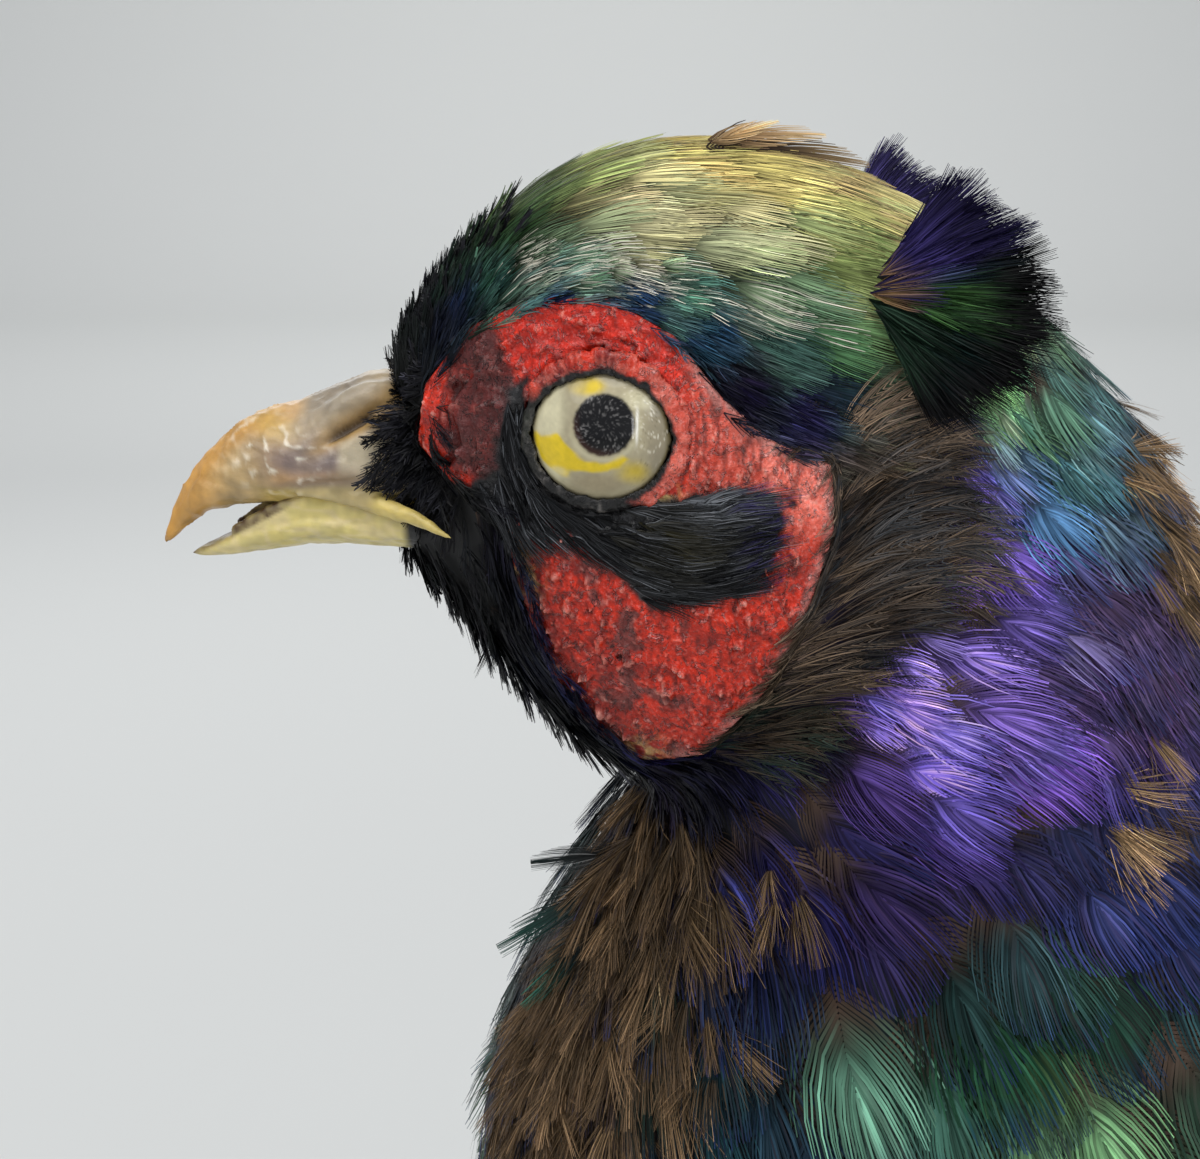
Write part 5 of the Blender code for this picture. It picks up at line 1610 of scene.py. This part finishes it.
class PHEASANT_OT_head_coat(bpy.types.Operator):
    """Grows the crown, forehead, cheeks, chin and throat, and the black bristles round the bill"""

    bl_idname = "pheasant.head_coat"
    bl_label = "Head coat"

    def execute(self, context):
        skin, rng = HOSTS["skin"], stream(context, 1)
        gap = context.scene.pheasant_coat.crown_spacing * density()
        sleek = coat_paint(down=0.03, vary=0.18, streak=0.2, painted_root_shade=0.88, painted_root_shade_end=0.75, painted_glints=1.0)
        shiny = coat_paint(down=0, vary=0.2, streak=0.3, painted_root_shade=0.8, painted_glints=0.9)
        plain = coat_paint(down=0.0, vary=0.3, streak=0.3)
        black = flat_paint("050506 0a0a0c 15151a", 0.5)

        def on_head(aside, depth, values):
            return (values["head"] > 0.5) & ~((depth > 0.3) & (np.abs(aside) > 5))

        @where
        def crown(ahead, aside, up, depth, values):
            return on_head(aside, depth, values) & (up > 3.5) & (ahead < 15)

        @where
        def cheek(ahead, aside, up, depth, values):
            ear = (inset(EAR_PATCH, ahead, up) > -1) & (up > -29)
            return on_head(aside, depth, values) & (up <= 3.5) & (ahead < 11) & ~ear

        @where
        def lores(ahead, aside, up, depth, values):
            return on_head(aside, depth, values) & (ahead >= 11) & (up < 15)

        @where
        def brow(_, aside, up, depth, values):
            return (values["head"] > 0.5) & (np.abs(aside) > 4) & (depth > -3.2) & (depth < 0.6) & (up > -2.5)

        @where
        def bill_base(ahead, _, up, depth, values):
            return (ahead - np.interp(up, *BILL_FEATHERS) < -2.6) & (ahead > 13) & (up > -9.5) & (depth < 0.6)

        @where
        def spiky(ahead, aside, up, _, values):
            forehead, chin = (ahead > 9.5) & (up > 4), (up < -11) & (ahead > 0)
            return (values["head"] > 0.5) & (np.abs(aside) < 7) & (forehead | chin)

        roots = skin.scatter(rng, gap * 1.25, crown)
        cover("crown", skin, roots, CROWN_VANE, rng, sleek, "crown_green", parts=2)
        roots = skin.scatter(rng, gap * 0.43, brow).deep(0.5, more=True)
        cover("brow", skin, roots, BROW_VANE, rng, shiny, "crown_green")
        roots = skin.scatter(rng, gap, cheek)
        cover("cheek", skin, roots, CHEEK_VANE, rng, coat_paint(down=0.1, vary=0.25, streak=0.3), "neck_violet")
        roots = skin.scatter(rng, gap * 0.8, lores)
        ahead, aside, up = Head.read(roots.points).T
        above = up - np.interp(ahead, GAPE[::-1, 0], GAPE[::-1, 2])
        near = (np.abs(aside) > 4) & (ahead > 13) & (above < 5)
        clear = ~(near & (np.abs(above) < 0.9))  # none on the gape's strip, short ones above it
        size = np.where(near & (above > 0), np.clip(above / 5, 0.25, 1), 1.0)[clear]
        cover("lores", skin, roots.pick(clear), BRISTLE_VANE, rng, plain, "neck_violet", size=size)
        muzzle = host_of("skin", "horn_upper", "horn_lower")
        roots = muzzle.scatter(rng, gap * 0.38, bill_base).deep(0.8)
        cover("bill_bristles", muzzle, roots, MUZZLE_VANE, rng, black, "neck_violet", heading=side_field(1, MUZZLE_LIE))
        roots = skin.scatter(rng, gap * 0.75, spiky)
        size = np.where(Head.read(roots.points)[:, 2] < 0, 1.9, 1.0) * np.exp(rng.normal(0, 0.2, len(roots)))
        cover("spikes", skin, roots, SPIKE_VANE, rng, black, "neck_violet", size=size, heading=side_field(1, SPIKE_LIE))
        for side, word in SIDES:
            host = HOSTS["face_" + word]

            def rim(ahead, aside, up, depth, _):
                edge = 0.9 + 0.6 * blobs(np.stack([ahead, aside, up], axis=1), 2.5, 63)
                return (aside > 5) & (depth < edge) & ((ahead > -8) | (up > -1))

            def banded(ahead, aside, up, *_):
                return (aside > 9) & (inset(FACE_BAND, ahead, up) > 0.1) & (ahead > -11.5)

            roots = host.scatter(rng, 0.8 * MM * density(), where(rim, side)).deep(0.7)
            cover("face_rim_" + word, host_of("skin", "face_" + word), roots, RIM_VANE, rng, plain, "neck_violet")
            roots = host.scatter(rng, 0.9 * MM * density(), where(banded, side)).deep(0.75)
            field = side_field(side, BAND_LIE)
            cover("face_band_" + word, host, roots, BAND_VANE, rng, black_paint, "neck_violet", heading=field)
        return {"FINISHED"}


class PHEASANT_OT_ears(bpy.types.Operator):
    """Grows the hair-like plumes behind the face and the tufts above them"""

    bl_idname = "pheasant.ears"
    bl_label = "Ears"

    def execute(self, context):
        skin, rng = HOSTS["skin"], stream(context, 2)
        for side, word in SIDES:

            def patch(ahead, aside, up, *_):
                return (aside > 3) & (inset(EAR_PATCH, ahead, up) > 0)

            def rear(ahead, aside, up, depth, _):
                edge = 1.3 + 0.9 * blobs(np.stack([ahead, aside, up], axis=1), 1.2, 64)
                return (aside > 9) & (depth < edge) & (ahead < -7) & (up < -1)

            def plumes(name, host, roots, field=side_field(side, EAR_LIE), **more):
                cover(name, host, roots, PLUME_VANE, rng, ear_paint, "neck_violet", heading=field, **more)

            roots = HOSTS["face_" + word].scatter(rng, 0.62 * MM * density(), where(rear, side)).deep(0.8)
            plumes("ear_rim_" + word, host_of("skin", "face_" + word), roots, size=np.full(len(roots), 0.62))
            roots = skin.scatter(rng, 1.05 * MM * density(), where(patch, side)).deep(0.9, more=True)
            plumes("ear_" + word, skin, roots)
            self.tuft(side, word, rng)
            self.core(side, word)
        return {"FINISHED"}

    @staticmethod
    def fan(side, turns, shares, offset, thickness):
        """Points of the tuft's fan at these turns (degrees) and shares of its length, off its middle sheet."""
        ahead, aside, up = TUFT_ROOT
        turn = np.radians(turns)
        reach = np.interp(turns, TUFT_TURNS, TUFT_LENGTHS) * shares
        aside = aside + (6.2 - 2.6 * ramp(-turns, 5, 60)) * np.clip(shares, 0, None) ** 0.8
        aside = aside + offset * thickness * np.clip(shares, 0, 1.2) ** 0.6 * np.sqrt(held(1 - (turns / 68) ** 2))
        return Head.write(np.stack([ahead - reach * np.cos(turn), side * aside, up + reach * np.sin(turn)], axis=-1))

    def tuft(self, side, word, rng):
        """A fan of long barbs round a dark core, open at its end like a brush."""

        def tones(points):
            ahead, _, up = mirrored(points, side).T
            back, up = TUFT_ROOT[0] - ahead, up - TUFT_ROOT[2]
            turns = np.degrees(np.arctan2(up, back))
            return np.hypot(back, up) / np.interp(turns, TUFT_TURNS, TUFT_LENGTHS), turns

        def paint(roots, along, across, barb_share, each_barb, rng):
            share, turns = tones(roots.points)
            place = share[:, None] + along * 0.55
            spot = blobs(roots.points, 2.5 * MM, 62)
            green = mix("1b3a2c", "3a5c30", held(spot + 0.4))
            low = mix(green, "0a1218", ramp(-turns, 6, 28) * 0.85)
            colour = mix(low, "383066", ramp(turns + 8 * spot, 14, 28))[:, None]
            brown = ramp(0.5 - place, 0, 0.25) * ramp(turns, -14, 6)[:, None]
            colour = mix(colour, "a8865a", brown * ramp(each_barb(), -0.8, 0.3) * 0.95)
            black = ramp(place + 0.06 * each_barb(), 0.68, 0.95) * (1 - 0.35 * ramp(turns, 15, 30))[:, None]
            colour = mix(colour, "050507", black)
            shade = np.exp(rng.normal(0, 0.2, (len(share), 1)) + 0.4 * each_barb())
            return colour * shade[..., None], 0.5 * (1 - black)

        ahead, aside, up = TUFT_ROOT
        lie_table = [
            (ahead - 12 * s * math.cos(t), aside + 6 * s, up + 12 * s * math.sin(t), -math.cos(t), 0.4, math.sin(t))
            for s, t in product((0.2, 0.6, 1.1), np.radians((-60, -30, 0, 30, 60)))
        ]
        fan_lie = side_field(side, lie_table)
        sheets = []
        for face in (1, 0, -1):
            turns, shares = np.meshgrid(np.linspace(-64, 64, 27), np.linspace(0.005, 1.32, 17), indexing="ij")
            index = np.arange(turns.size).reshape(turns.shape)
            quads = np.stack([index[:-1, :-1], index[1:, :-1], index[1:, 1:], index[:-1, 1:]], axis=-1).reshape(-1, 4)
            if (face >= 0) == (side > 0):
                quads = quads[:, ::-1]
            points = self.fan(side, turns, shares, face, 1.7).reshape(-1, 3)
            host = Host(quad_mesh("tuft_sheet", points, quads, np.full((turns.size, 2), 0.5)))
            low, high = (0.3, 0.8) if face == 0 else (-0.1, 0.66)

            def open_end(spots, values, low=low, high=high):
                share, _ = tones(spots)
                return (share > low) & (share < high)

            roots = host.scatter(rng, 0.95 * MM * density(), open_end).deep(0.8)
            share, turn = tones(roots.points)
            roots.patch = np.stack([0.45 + 0.02 * share * face, 0.5 + 0.0005 * turn], axis=1)
            more = {"depth": roots.values["depth"], "heading": fan_lie}
            sheets.append(grow("sheet", host, roots, TUFT_VANE, rng, paint, feather_material(), **more))
        whole = joined("tuft_" + word, [obj.data for obj in sheets])
        for obj in sheets:
            bpy.data.objects.remove(obj)
        whole.shade_smooth()
        keep(link("tuft_" + word, whole, feather_material()), "neck_violet")

    def core(self, side, word):
        """The dark closed core that the tuft's barbs hide."""
        t, a = np.meshgrid(np.linspace(-58, 58, 15), np.linspace(0, 2 * math.pi, 20, endpoint=False), indexing="ij")
        share = 0.16 + 0.7 * (1 - np.cos(a)) / 2
        taper = np.sqrt(held(1 - (t / 58.5) ** 2))
        points = self.fan(side, t, share * (0.9 + 0.1 * taper) + 0.02, np.sin(a) * 0.8 * taper, 1.3)
        mesh = shell("ear_core_" + word, points.reshape(-1, 3), tube(0, *t.shape))
        put_colours(mesh, np.broadcast_to(tint("0b0b10"), (len(mesh.vertices), 3)))
        keep(link("ear_core_" + word, mesh, painted("ear_core", 0.8)), "neck_violet", "ear_tuft_" + word)


def ribbon(start, way, up, length, curl, half=3.5 * MM):
    """A bent strip that one loose feather lies on."""
    way, up = unit(np.array(way, float)), np.array(up, float)
    up = unit(up - way * dot(up, way))
    across = np.cross(up, way)
    spots = []
    for t in np.linspace(0, 1.15, 14):
        middle = np.array(start) + way * length * t + up * length * curl * t * t
        spots += [middle - across * half, middle + across * half]
    quads = np.array([(2 * k, 2 * k + 1, 2 * k + 3, 2 * k + 2) for k in range(13)])[:, ::-1]
    return quad_mesh("ribbon", np.array(spots), quads, np.full((len(spots), 2), 0.5))


def stray(name, start, way, up, length, curl, paint, rng, slot):
    """One loose feather that stands out from the coat."""
    strip = ribbon(start, way, up, length, curl)
    host = Host(strip)
    roots = host.roots_at(np.array([start], float), np.full((1, 2), 0.5), np.array([0.2]))
    direction = unit(np.array(way, float))
    more = {
        "size": np.array([length / (STRAY_VANE.length * MM)]),
        "heading": lambda points: np.broadcast_to(direction, points.shape),
    }
    cover(name, host, roots, STRAY_VANE, rng, paint, slot, **more)
    bpy.data.meshes.remove(strip)


# loose feathers: head place, heading, which way is up, length in millimetres, curl, colours from root to tip
STRAYS = """
    -8.5 5 23.9 -1 -.2 -.02 0 .75 .65 16 -.12 2a1d14 3a2a1c 9a8058;
    -9 3.5 24.3 -.97 -.1 .14 0 .6 .75 12 -.16 3a2a1c 8a7050 b59c74;
    -9.5 4.5 24 -.88 -.1 .35 .3 .6 .75 7 -.1 3a2a1c a08660 c0a880;
    -2 -8 -50.5 .8 .1 -.4 .3 1 .4 13 -.2 1c1a18 20302e 1c4a40;
    -1 -6 -54 .7 .1 -.7 .2 1 .2 14 -.15 1c1a18 1c2c2e 246050;
    -3 -9 -48 .9 .1 -.05 .2 1 .5 11 -.2 201c1a 2a2c2c 202c2c;
    0 -5 -58 .5 .1 -.9 .3 1 .1 12 -.15 1c1a18 1c2c2e 1c4a40;
    9.5 4.5 -19.5 .3 .25 -.95 .6 .6 0 6 .1 0c0b0b 100e0c 1e1a16
"""


class PHEASANT_OT_neck_coat(bpy.types.Operator):
    """Grows the glossy scale-like feathers of the neck and tufts of brown down between them"""

    bl_idname = "pheasant.neck_coat"
    bl_label = "Neck coat"

    def execute(self, context):
        coat = context.scene.pheasant_coat
        skin, rng = HOSTS["skin"], stream(context, 3)
        many = density()

        def spacing(points):
            return coat.neck_spacing * many * (1 + 1.0 * ramp(-Head.read(points)[:, 2], 15, 75))

        def on_neck(points, values):
            ahead, aside, up = np.abs(Head.read(points) + (15, 0, 36)).T
            under_ear = (ahead < 6) & (up < 4.5) & (aside > 8)
            ahead, _, up = Head.read(points).T
            ear = (inset(EAR_PATCH, ahead, up) > 0.5) & (aside > 6)
            return (values["neck"] > 0.5) & ~ear & (values["face"] > 0.8 * MM) | under_ear

        roots = skin.scatter(rng, spacing, on_neck)
        size = spacing(roots.points) / (coat.neck_spacing * many)
        glossy = coat_paint(down=0.3, vary=0.2, streak=0.32, painted_root_shade=0.8, painted_root_shade_end=0.66, tip=tint("1c2a5c"), dusk=0.2)
        cover("neck_coat", skin, roots, NECK_VANE, rng, glossy, "neck_violet", parts=4, size=size)
        rows = product((1, -1), DOWN_SPOTS)
        spots = [(np.array(Head.place(x, side * y, z)), reach * MM) for side, (x, y, z, reach, _) in rows]

        def downy_place(points, values):
            near = np.min([np.linalg.norm(points - spot, axis=1) - reach for spot, reach in spots], axis=0)
            return on_neck(points, values) & (near < 0)

        tufts = skin.scatter(rng, 1.9 * MM * many, downy_place)
        size = np.exp(rng.normal(-0.05, 0.25, len(tufts)))
        cover("neck_down", skin, tufts, DOWN_VANE, rng, downy_paint, "neck_violet", size=size)
        for k, row in enumerate(STRAYS.split(";")):
            words = row.split()
            x = [float(word) for word in words[:11]]
            place, way, up = Head.place(*x[:3]), Head.direct(*x[3:6]), Head.direct(*x[6:9])
            paint = flat_paint(" ".join(words[11:]), 0.25)
            stray(f"loose_feather_{k + 1}", place, way, up, x[9] * MM, x[10], paint, rng, "neck_violet")
        return {"FINISHED"}


class PHEASANT_OT_body_coat(bpy.types.Operator):
    """Grows the feathers of breast, back, rump, belly and thighs"""

    bl_idname = "pheasant.body_coat"
    bl_label = "Body coat"

    def execute(self, context):
        coat = context.scene.pheasant_coat
        skin, rng = HOSTS["skin"], stream(context, 4)
        gap = coat.body_spacing * density()

        green, brown = coat_paint(down=0.3, vary=0.14, streak=0.15), coat_paint(down=0.25, vary=0.2, streak=0.2)
        roots = skin.scatter(rng, gap, lambda points, values: values["trunk"] > 0.5)
        cover("body", skin, roots, BODY_VANE, rng, green, "breast_green", parts=2)
        roots = skin.scatter(rng, gap * 0.62, lambda points, values: values["thigh"] > 0.5)
        cover("thighs", skin, roots, BODY_VANE, rng, brown, "thigh_brown", size=np.full(len(roots), 0.55))
        return {"FINISHED"}


class PHEASANT_OT_wings(bpy.types.Operator):
    """Grows the closed wings' coverts and flight feathers"""

    bl_idname = "pheasant.wings"
    bl_label = "Wings"

    def execute(self, context):
        skin, rng = HOSTS["skin"], stream(context, 5)
        gap = 10.5 * MM * density()
        barred = coat_paint(down=0.12, vary=0.12, streak=0.08, fringe=FRINGE_BUFF, fringe_from=0.8, painted_root_shade=0.2)
        flight = coat_paint(down=0.05, vary=0.1, streak=0.06, bars=(tint("a08a5c"), 12), painted_root_shade=0.1)
        front, rear = Vector((-0.062, 0, 0.232)), Vector((0.14, 0, 0.162))

        def along_wing(points):
            line = np.array(rear - front)
            return (points - np.array(front)) @ line / (line @ line)

        for side, word in SIDES:

            def coverts(points, values, side=side):
                return (values["wing"] > 0.5) & (points[:, 1] * side < 0) & (along_wing(points) < 0.62)

            roots = skin.scatter(rng, gap, coverts)
            size = 0.75 + 0.5 * held(along_wing(roots.points))
            self.flight(skin, side, word, rng, flight)
            cover("coverts_" + word, skin, roots, COVERT_VANE, rng, barred, "wing_slate", size=size)
        return {"FINISHED"}

    def flight(self, skin, side, word, rng, paint):
        """Long feathers stacked like a closed fan along the wing's rear half."""
        rows = []
        ranks = ((0.30, 0.15, 0.62, 9, 1.0), (0.12, 0.02, 0.5, 10, 0.9))
        for rank, (start, low, high, count, scale) in enumerate(ranks):
            k = np.arange(count)
            t = k / (count - 1)
            x = -0.062 + 0.202 * (start + 0.16 * (1 - t))
            z = 0.262 - 0.35 * (x + 0.062) - (low + (high - low) * t) * 0.085
            depth = 0.6 + 0.22 * k + 1.4 * rank
            rows.append(np.stack([x, np.full(count, -side * 0.12), z, scale * (0.75 + 0.25 * (1 - t)), depth], axis=1))
        rows = np.concatenate(rows)
        patch = np.stack([np.linspace(0.1, 0.9, len(rows)), np.full(len(rows), 0.5 + 0.02 * side)], axis=1)
        roots = skin.roots_at(rows[:, :3], patch, rows[:, 4])
        cover("flight_" + word, skin, roots, FLIGHT_VANE, rng, paint, "wing_slate", size=rows[:, 3])


class PHEASANT_OT_tail(bpy.types.Operator):
    """Grows the long graduated tail feathers over a core of the tail's colours"""

    bl_idname = "pheasant.tail"
    bl_label = "Tail"

    def execute(self, context):
        rng = stream(context, 6)
        mesh = remeshed("tail_core", [welded("tail")], 1.8 * MM, smooth=2)
        points, normals = shape(mesh)
        write_points(mesh, points - normals * 1.0 * MM)
        points = read_points(mesh)
        low, high = (np.array(corner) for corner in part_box("tail"))
        share = (points[:, 0] - low[0]) / (high[0] - low[0])
        put_colours(mesh, mix(tint("6a6248") * 0.5, "17130f", ramp(np.sin(share * 150), 0.2, 0.7) * 0.7))
        host = Host(mesh)
        axis = unit(np.array((high[0] - low[0], 0, -(high[2] - low[2]) * 0.72)))

        def along(spots):
            return np.broadcast_to(axis, spots.shape)

        def barred(roots, lengthwise, across, barb_share, each_barb, rng):
            count = len(roots.points)
            olive, buff, dark = tints("6f6a50 8a7a58 1c1510")
            colour = mix(np.broadcast_to(olive, (*lengthwise.shape, 3)), buff, ramp(barb_share, 0.3, 0.9) * 0.6)
            phase = rng.uniform(0, 6, (count, 1))
            bar = np.sin(lengthwise * 118 + 2.2 * np.abs(across) + phase)
            colour = mix(colour, dark, ramp(bar, 0.45, 0.8) * (1 - 0.6 * ramp(barb_share, 0.6, 1)))
            shade = np.exp(rng.normal(0, 0.1, (count, 1)) + 0.1 * each_barb())
            return colour * shade[..., None], np.full(lengthwise.shape, 0.05)

        face, k = (x.ravel() for x in np.meshgrid((1, -1), np.arange(9), indexing="ij"))
        aside = (k - 4) / 4
        starts = np.stack([np.full(18, low[0] + 0.014), aside * 0.015, high[2] - 0.02 + face * 0.06], axis=1)
        patch = np.stack([np.linspace(0.05, 0.95, 18), np.full(18, 0.5)], axis=1)
        roots = host.roots_at(starts, patch, 1.6 - 1.1 * np.abs(aside))
        size = 1.0 - 0.5 * np.abs(aside) ** 0.9
        cover("tail_vanes", host, roots, TAIL_VANE, rng, barred, "tail_olive", size=size, heading=along)
        keep(link("tail_core", mesh, painted("tail_core", 0.8)), "tail_olive", "tail")
        return {"FINISHED"}


# ---- legs and base ----
class PHEASANT_OT_legs(bpy.types.Operator):
    """Makes the scaled shanks and feet, the claws and the spurs"""

    bl_idname = "pheasant.legs"
    bl_label = "Legs"

    def execute(self, context):
        scale_material = painted("leg_scale", 0.45, Coat_Weight=0.1, Coat_Roughness=0.3)
        for _, word in SIDES:
            foot, shank = "foot_" + word, "shank_" + word
            mesh = remeshed("leg_" + word, [welded(shank), welded(foot)], 0.75 * MM, smooth=3, grow=0.15 * MM)
            points, normals = shape(mesh)
            ankle = np.array(node_middle(shank))
            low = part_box(shank)[0].z
            middle = np.array((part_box(foot)[0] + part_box(foot)[1]) / 2)
            on_shank = ramp(points[:, 2], low + 2 * MM, low + 7 * MM)
            out = np.hypot(points[:, 0] - middle[0], points[:, 1] - middle[1]) / MM
            ahead = ramp(-(points[:, 0] - ankle[0]) / MM, -1, 1.5)
            small = 1 - held(pebbles(points, 1.7 * MM, 71) * 1.3)
            scutes = ahead * ramp(saw(points[:, 2] / MM, 3.8), 0.72, 1) + (1 - ahead) * (1 - small) * 0.6
            rings = ramp(saw(out, 2.5), 0.7, 1) * ramp(normals[:, 2], -0.2, 0.2)
            groove = np.where(on_shank > 0.5, scutes, rings)
            write_points(mesh, points - normals * (groove * 0.3 * MM)[:, None])
            grey, pale, dark = tints("7b7468 a59a84 3c352c")
            tone = mix(grey, pale, held(0.4 + 0.5 * blobs(points, 6 * MM, 72) + 0.2 * blobs(points, 1.2 * MM, 73)))
            put_colours(mesh, mix(tone, dark, groove * 0.75))
            keep(link("leg_" + word, mesh, scale_material), "leg_scale", foot, shank)
            self.horn("claws_" + word, [f"claw_{word}_{toe}" for toe in TOES])
            self.horn("spur_horn_" + word, ["spur_" + word])
        return {"FINISHED"}

    @staticmethod
    def horn(name, nodes):
        mesh = subdivided(name, joined(name + "_joined", [welded(node) for node in nodes]), 2)
        put_colours(mesh, mix("2c241c", "6b5c48", held(0.4 + 0.6 * blobs(read_points(mesh), 2 * MM, 74))))
        keep(link(name, mesh, painted("claw_horn", 0.35)), "claw_horn", *nodes)


class PHEASANT_OT_base(bpy.types.Operator):
    """Makes the varnished wooden base"""

    bl_idname = "pheasant.base"
    bl_label = "Base"

    def execute(self, context):
        wood = np.array(context.scene.pheasant_stage.wood)
        material, tree, shader = new_material("varnished_wood", 0.35, Coat_Weight=0.5, Coat_Roughness=0.15)
        if tree is None:
            raise RuntimeError("the wood is already made")
        place = add(tree, "Mapping", {"Vector": add(tree, "TexCoord")["Object"], "Scale": (14, 160, 60)})["Vector"]
        grain = add(tree, "TexNoise", {"Vector": place, "Scale": 1.0, "Detail": 6, "Distortion": 0.6})["Fac"]
        tones = add(tree, "ValToRGB", {"Fac": grain})["Color"]
        for element, position, share in zip(tones.node.color_ramp.elements, (0.3, 0.7), (0.35, 1.15)):
            element.position, element.color = position, (*(wood * share), 1)
        plug(tree, shader, {"Base Color": tones})
        mesh = subdivided("base", welded("stand_base"), 0, sharp=0.6 * MM)
        keep(link("base", mesh, material), "base_wood", "stand_base")
        return {"FINISHED"}


# ---- stage ----
def area_light(name, place, aim, size, power, colour=(1, 1, 1)):
    light = bpy.data.lights.new(name, "AREA")
    light.shape, light.size, light.energy, light.color = "DISK", size, power, colour
    obj = bpy.data.objects.new(name, light)
    bpy.context.scene.collection.objects.link(obj)
    obj.location = place
    obj.rotation_euler = (Vector(aim) - Vector(place)).to_track_quat("-Z", "Y").to_euler()
    return obj


class PHEASANT_OT_stage(bpy.types.Operator):
    """Sets the pale floor and backdrop, the soft lights and the camera"""

    bl_idname = "pheasant.stage"
    bl_label = "Stage"

    def execute(self, context):
        stage = context.scene.pheasant_stage
        half, rise, bend = 3.0, 2.2, 0.5
        turns = [math.pi / 2 * k / 8 for k in range(1, 9)]
        curve = [(half - bend + bend * math.sin(turn), bend - bend * math.cos(turn)) for turn in turns]
        profile = [(-half, 0), (half - bend, 0), *curve, (half, rise)]
        ahead, count = -Head.LEFT, len(profile)
        across = Head.UP.cross(ahead)
        points = [ahead * d + across * w + Head.UP * (h - 0.0005) for w in (-half, half) for d, h in profile]
        mesh = shell("backdrop", points, [(k, k + 1, count + k + 1, count + k) for k in range(count - 1)])
        material, _, _ = new_material("pale_paper", 0.9, Base_Color=(*stage.floor, 1))
        link("backdrop", mesh, material)

        world = bpy.data.worlds.new("soft_room")
        context.scene.world = world
        world.use_nodes = True
        plug(world.node_tree, world.node_tree.nodes["Background"], {"Color": (0.9, 0.93, 1.0, 1), "Strength": 0.6})
        middle = Head.place(-15, 0, -25)

        def spot(ahead, aside, up):
            return middle + Head.direct(ahead, aside, up) * 0.01

        area_light("top_light", spot(0, 50, 170), middle, 1.3, 15)
        area_light("front_light", spot(75, 60, 95), middle, 0.8, 4.4, (1, 0.98, 0.95))
        area_light("rear_light", spot(-70, 60, 50), middle, 0.5, 1.6, (0.92, 0.96, 1))
        area_light("far_light", spot(30, -120, 60), middle, 0.9, 3.4)
        area_light("wall_light", middle - Head.LEFT * 1.9 + Head.UP * 1.0, middle - Head.LEFT * 2.9, 1.0, 9)
        strip = area_light("strip_light", spot(-32, 92, 10), middle, 0.05, 0.7)
        strip.data.shape, strip.data.size_y = "RECTANGLE", 0.42

        camera = bpy.data.cameras.new("camera")
        camera.lens, camera.sensor_width, camera.clip_start, camera.clip_end = stage.lens, 36, 0.01, 20
        obj = bpy.data.objects.new("camera", camera)
        context.scene.collection.objects.link(obj)
        back = Head.LEFT * math.cos(stage.elevation) + Head.UP * math.sin(stage.elevation)
        right = Head.UP.cross(back).normalized()
        up = back.cross(right)
        aim = Head.ORIGIN - up * stage.aim_below
        turn = Matrix((right, up, back)).transposed().to_4x4()
        obj.matrix_world = Matrix.Translation(aim + back * stage.distance) @ turn
        context.scene.camera = obj
        context.scene.view_settings.view_transform = "Standard"
        return {"FINISHED"}


class PHEASANT_PT_panel(bpy.types.Panel):
    """Lists the steps that dress the pheasant"""

    bl_idname = "PHEASANT_PT_panel"
    bl_label = "Mounted pheasant"
    bl_space_type = "VIEW_3D"
    bl_region_type = "UI"
    bl_category = "Pheasant"

    def draw(self, context):
        layout = self.layout
        for operator in OPERATORS:
            layout.operator(operator.bl_idname)
        for group in ("pheasant_coat", "pheasant_face", "pheasant_stage"):
            settings = getattr(context.scene, group)
            box = layout.box()
            for key in settings.bl_rna.properties.keys():
                if key not in ("rna_type", "name"):
                    box.prop(settings, key)


OPERATORS = (
    PHEASANT_OT_skin, PHEASANT_OT_face, PHEASANT_OT_lids, PHEASANT_OT_eyes, PHEASANT_OT_bill, PHEASANT_OT_head_coat,
    PHEASANT_OT_ears, PHEASANT_OT_neck_coat, PHEASANT_OT_body_coat, PHEASANT_OT_wings, PHEASANT_OT_tail,
    PHEASANT_OT_legs, PHEASANT_OT_base, PHEASANT_OT_stage,
)
GROUPS = (("pheasant_coat", PheasantCoat), ("pheasant_face", PheasantFace), ("pheasant_stage", PheasantStage))


def register():
    for name, group in GROUPS:
        bpy.utils.register_class(group)
        setattr(bpy.types.Scene, name, PointerProperty(type=group))
    for cls in (*OPERATORS, PHEASANT_PT_panel):
        bpy.utils.register_class(cls)


def unregister():
    for cls in reversed((*OPERATORS, PHEASANT_PT_panel)):
        bpy.utils.unregister_class(cls)
    for name, group in reversed(GROUPS):
        delattr(bpy.types.Scene, name)
        bpy.utils.unregister_class(group)


def main():
    register()
    for operator in OPERATORS:
        getattr(bpy.ops.pheasant, operator.bl_idname.split(".")[1])()


if __name__ == "__main__":
    main()
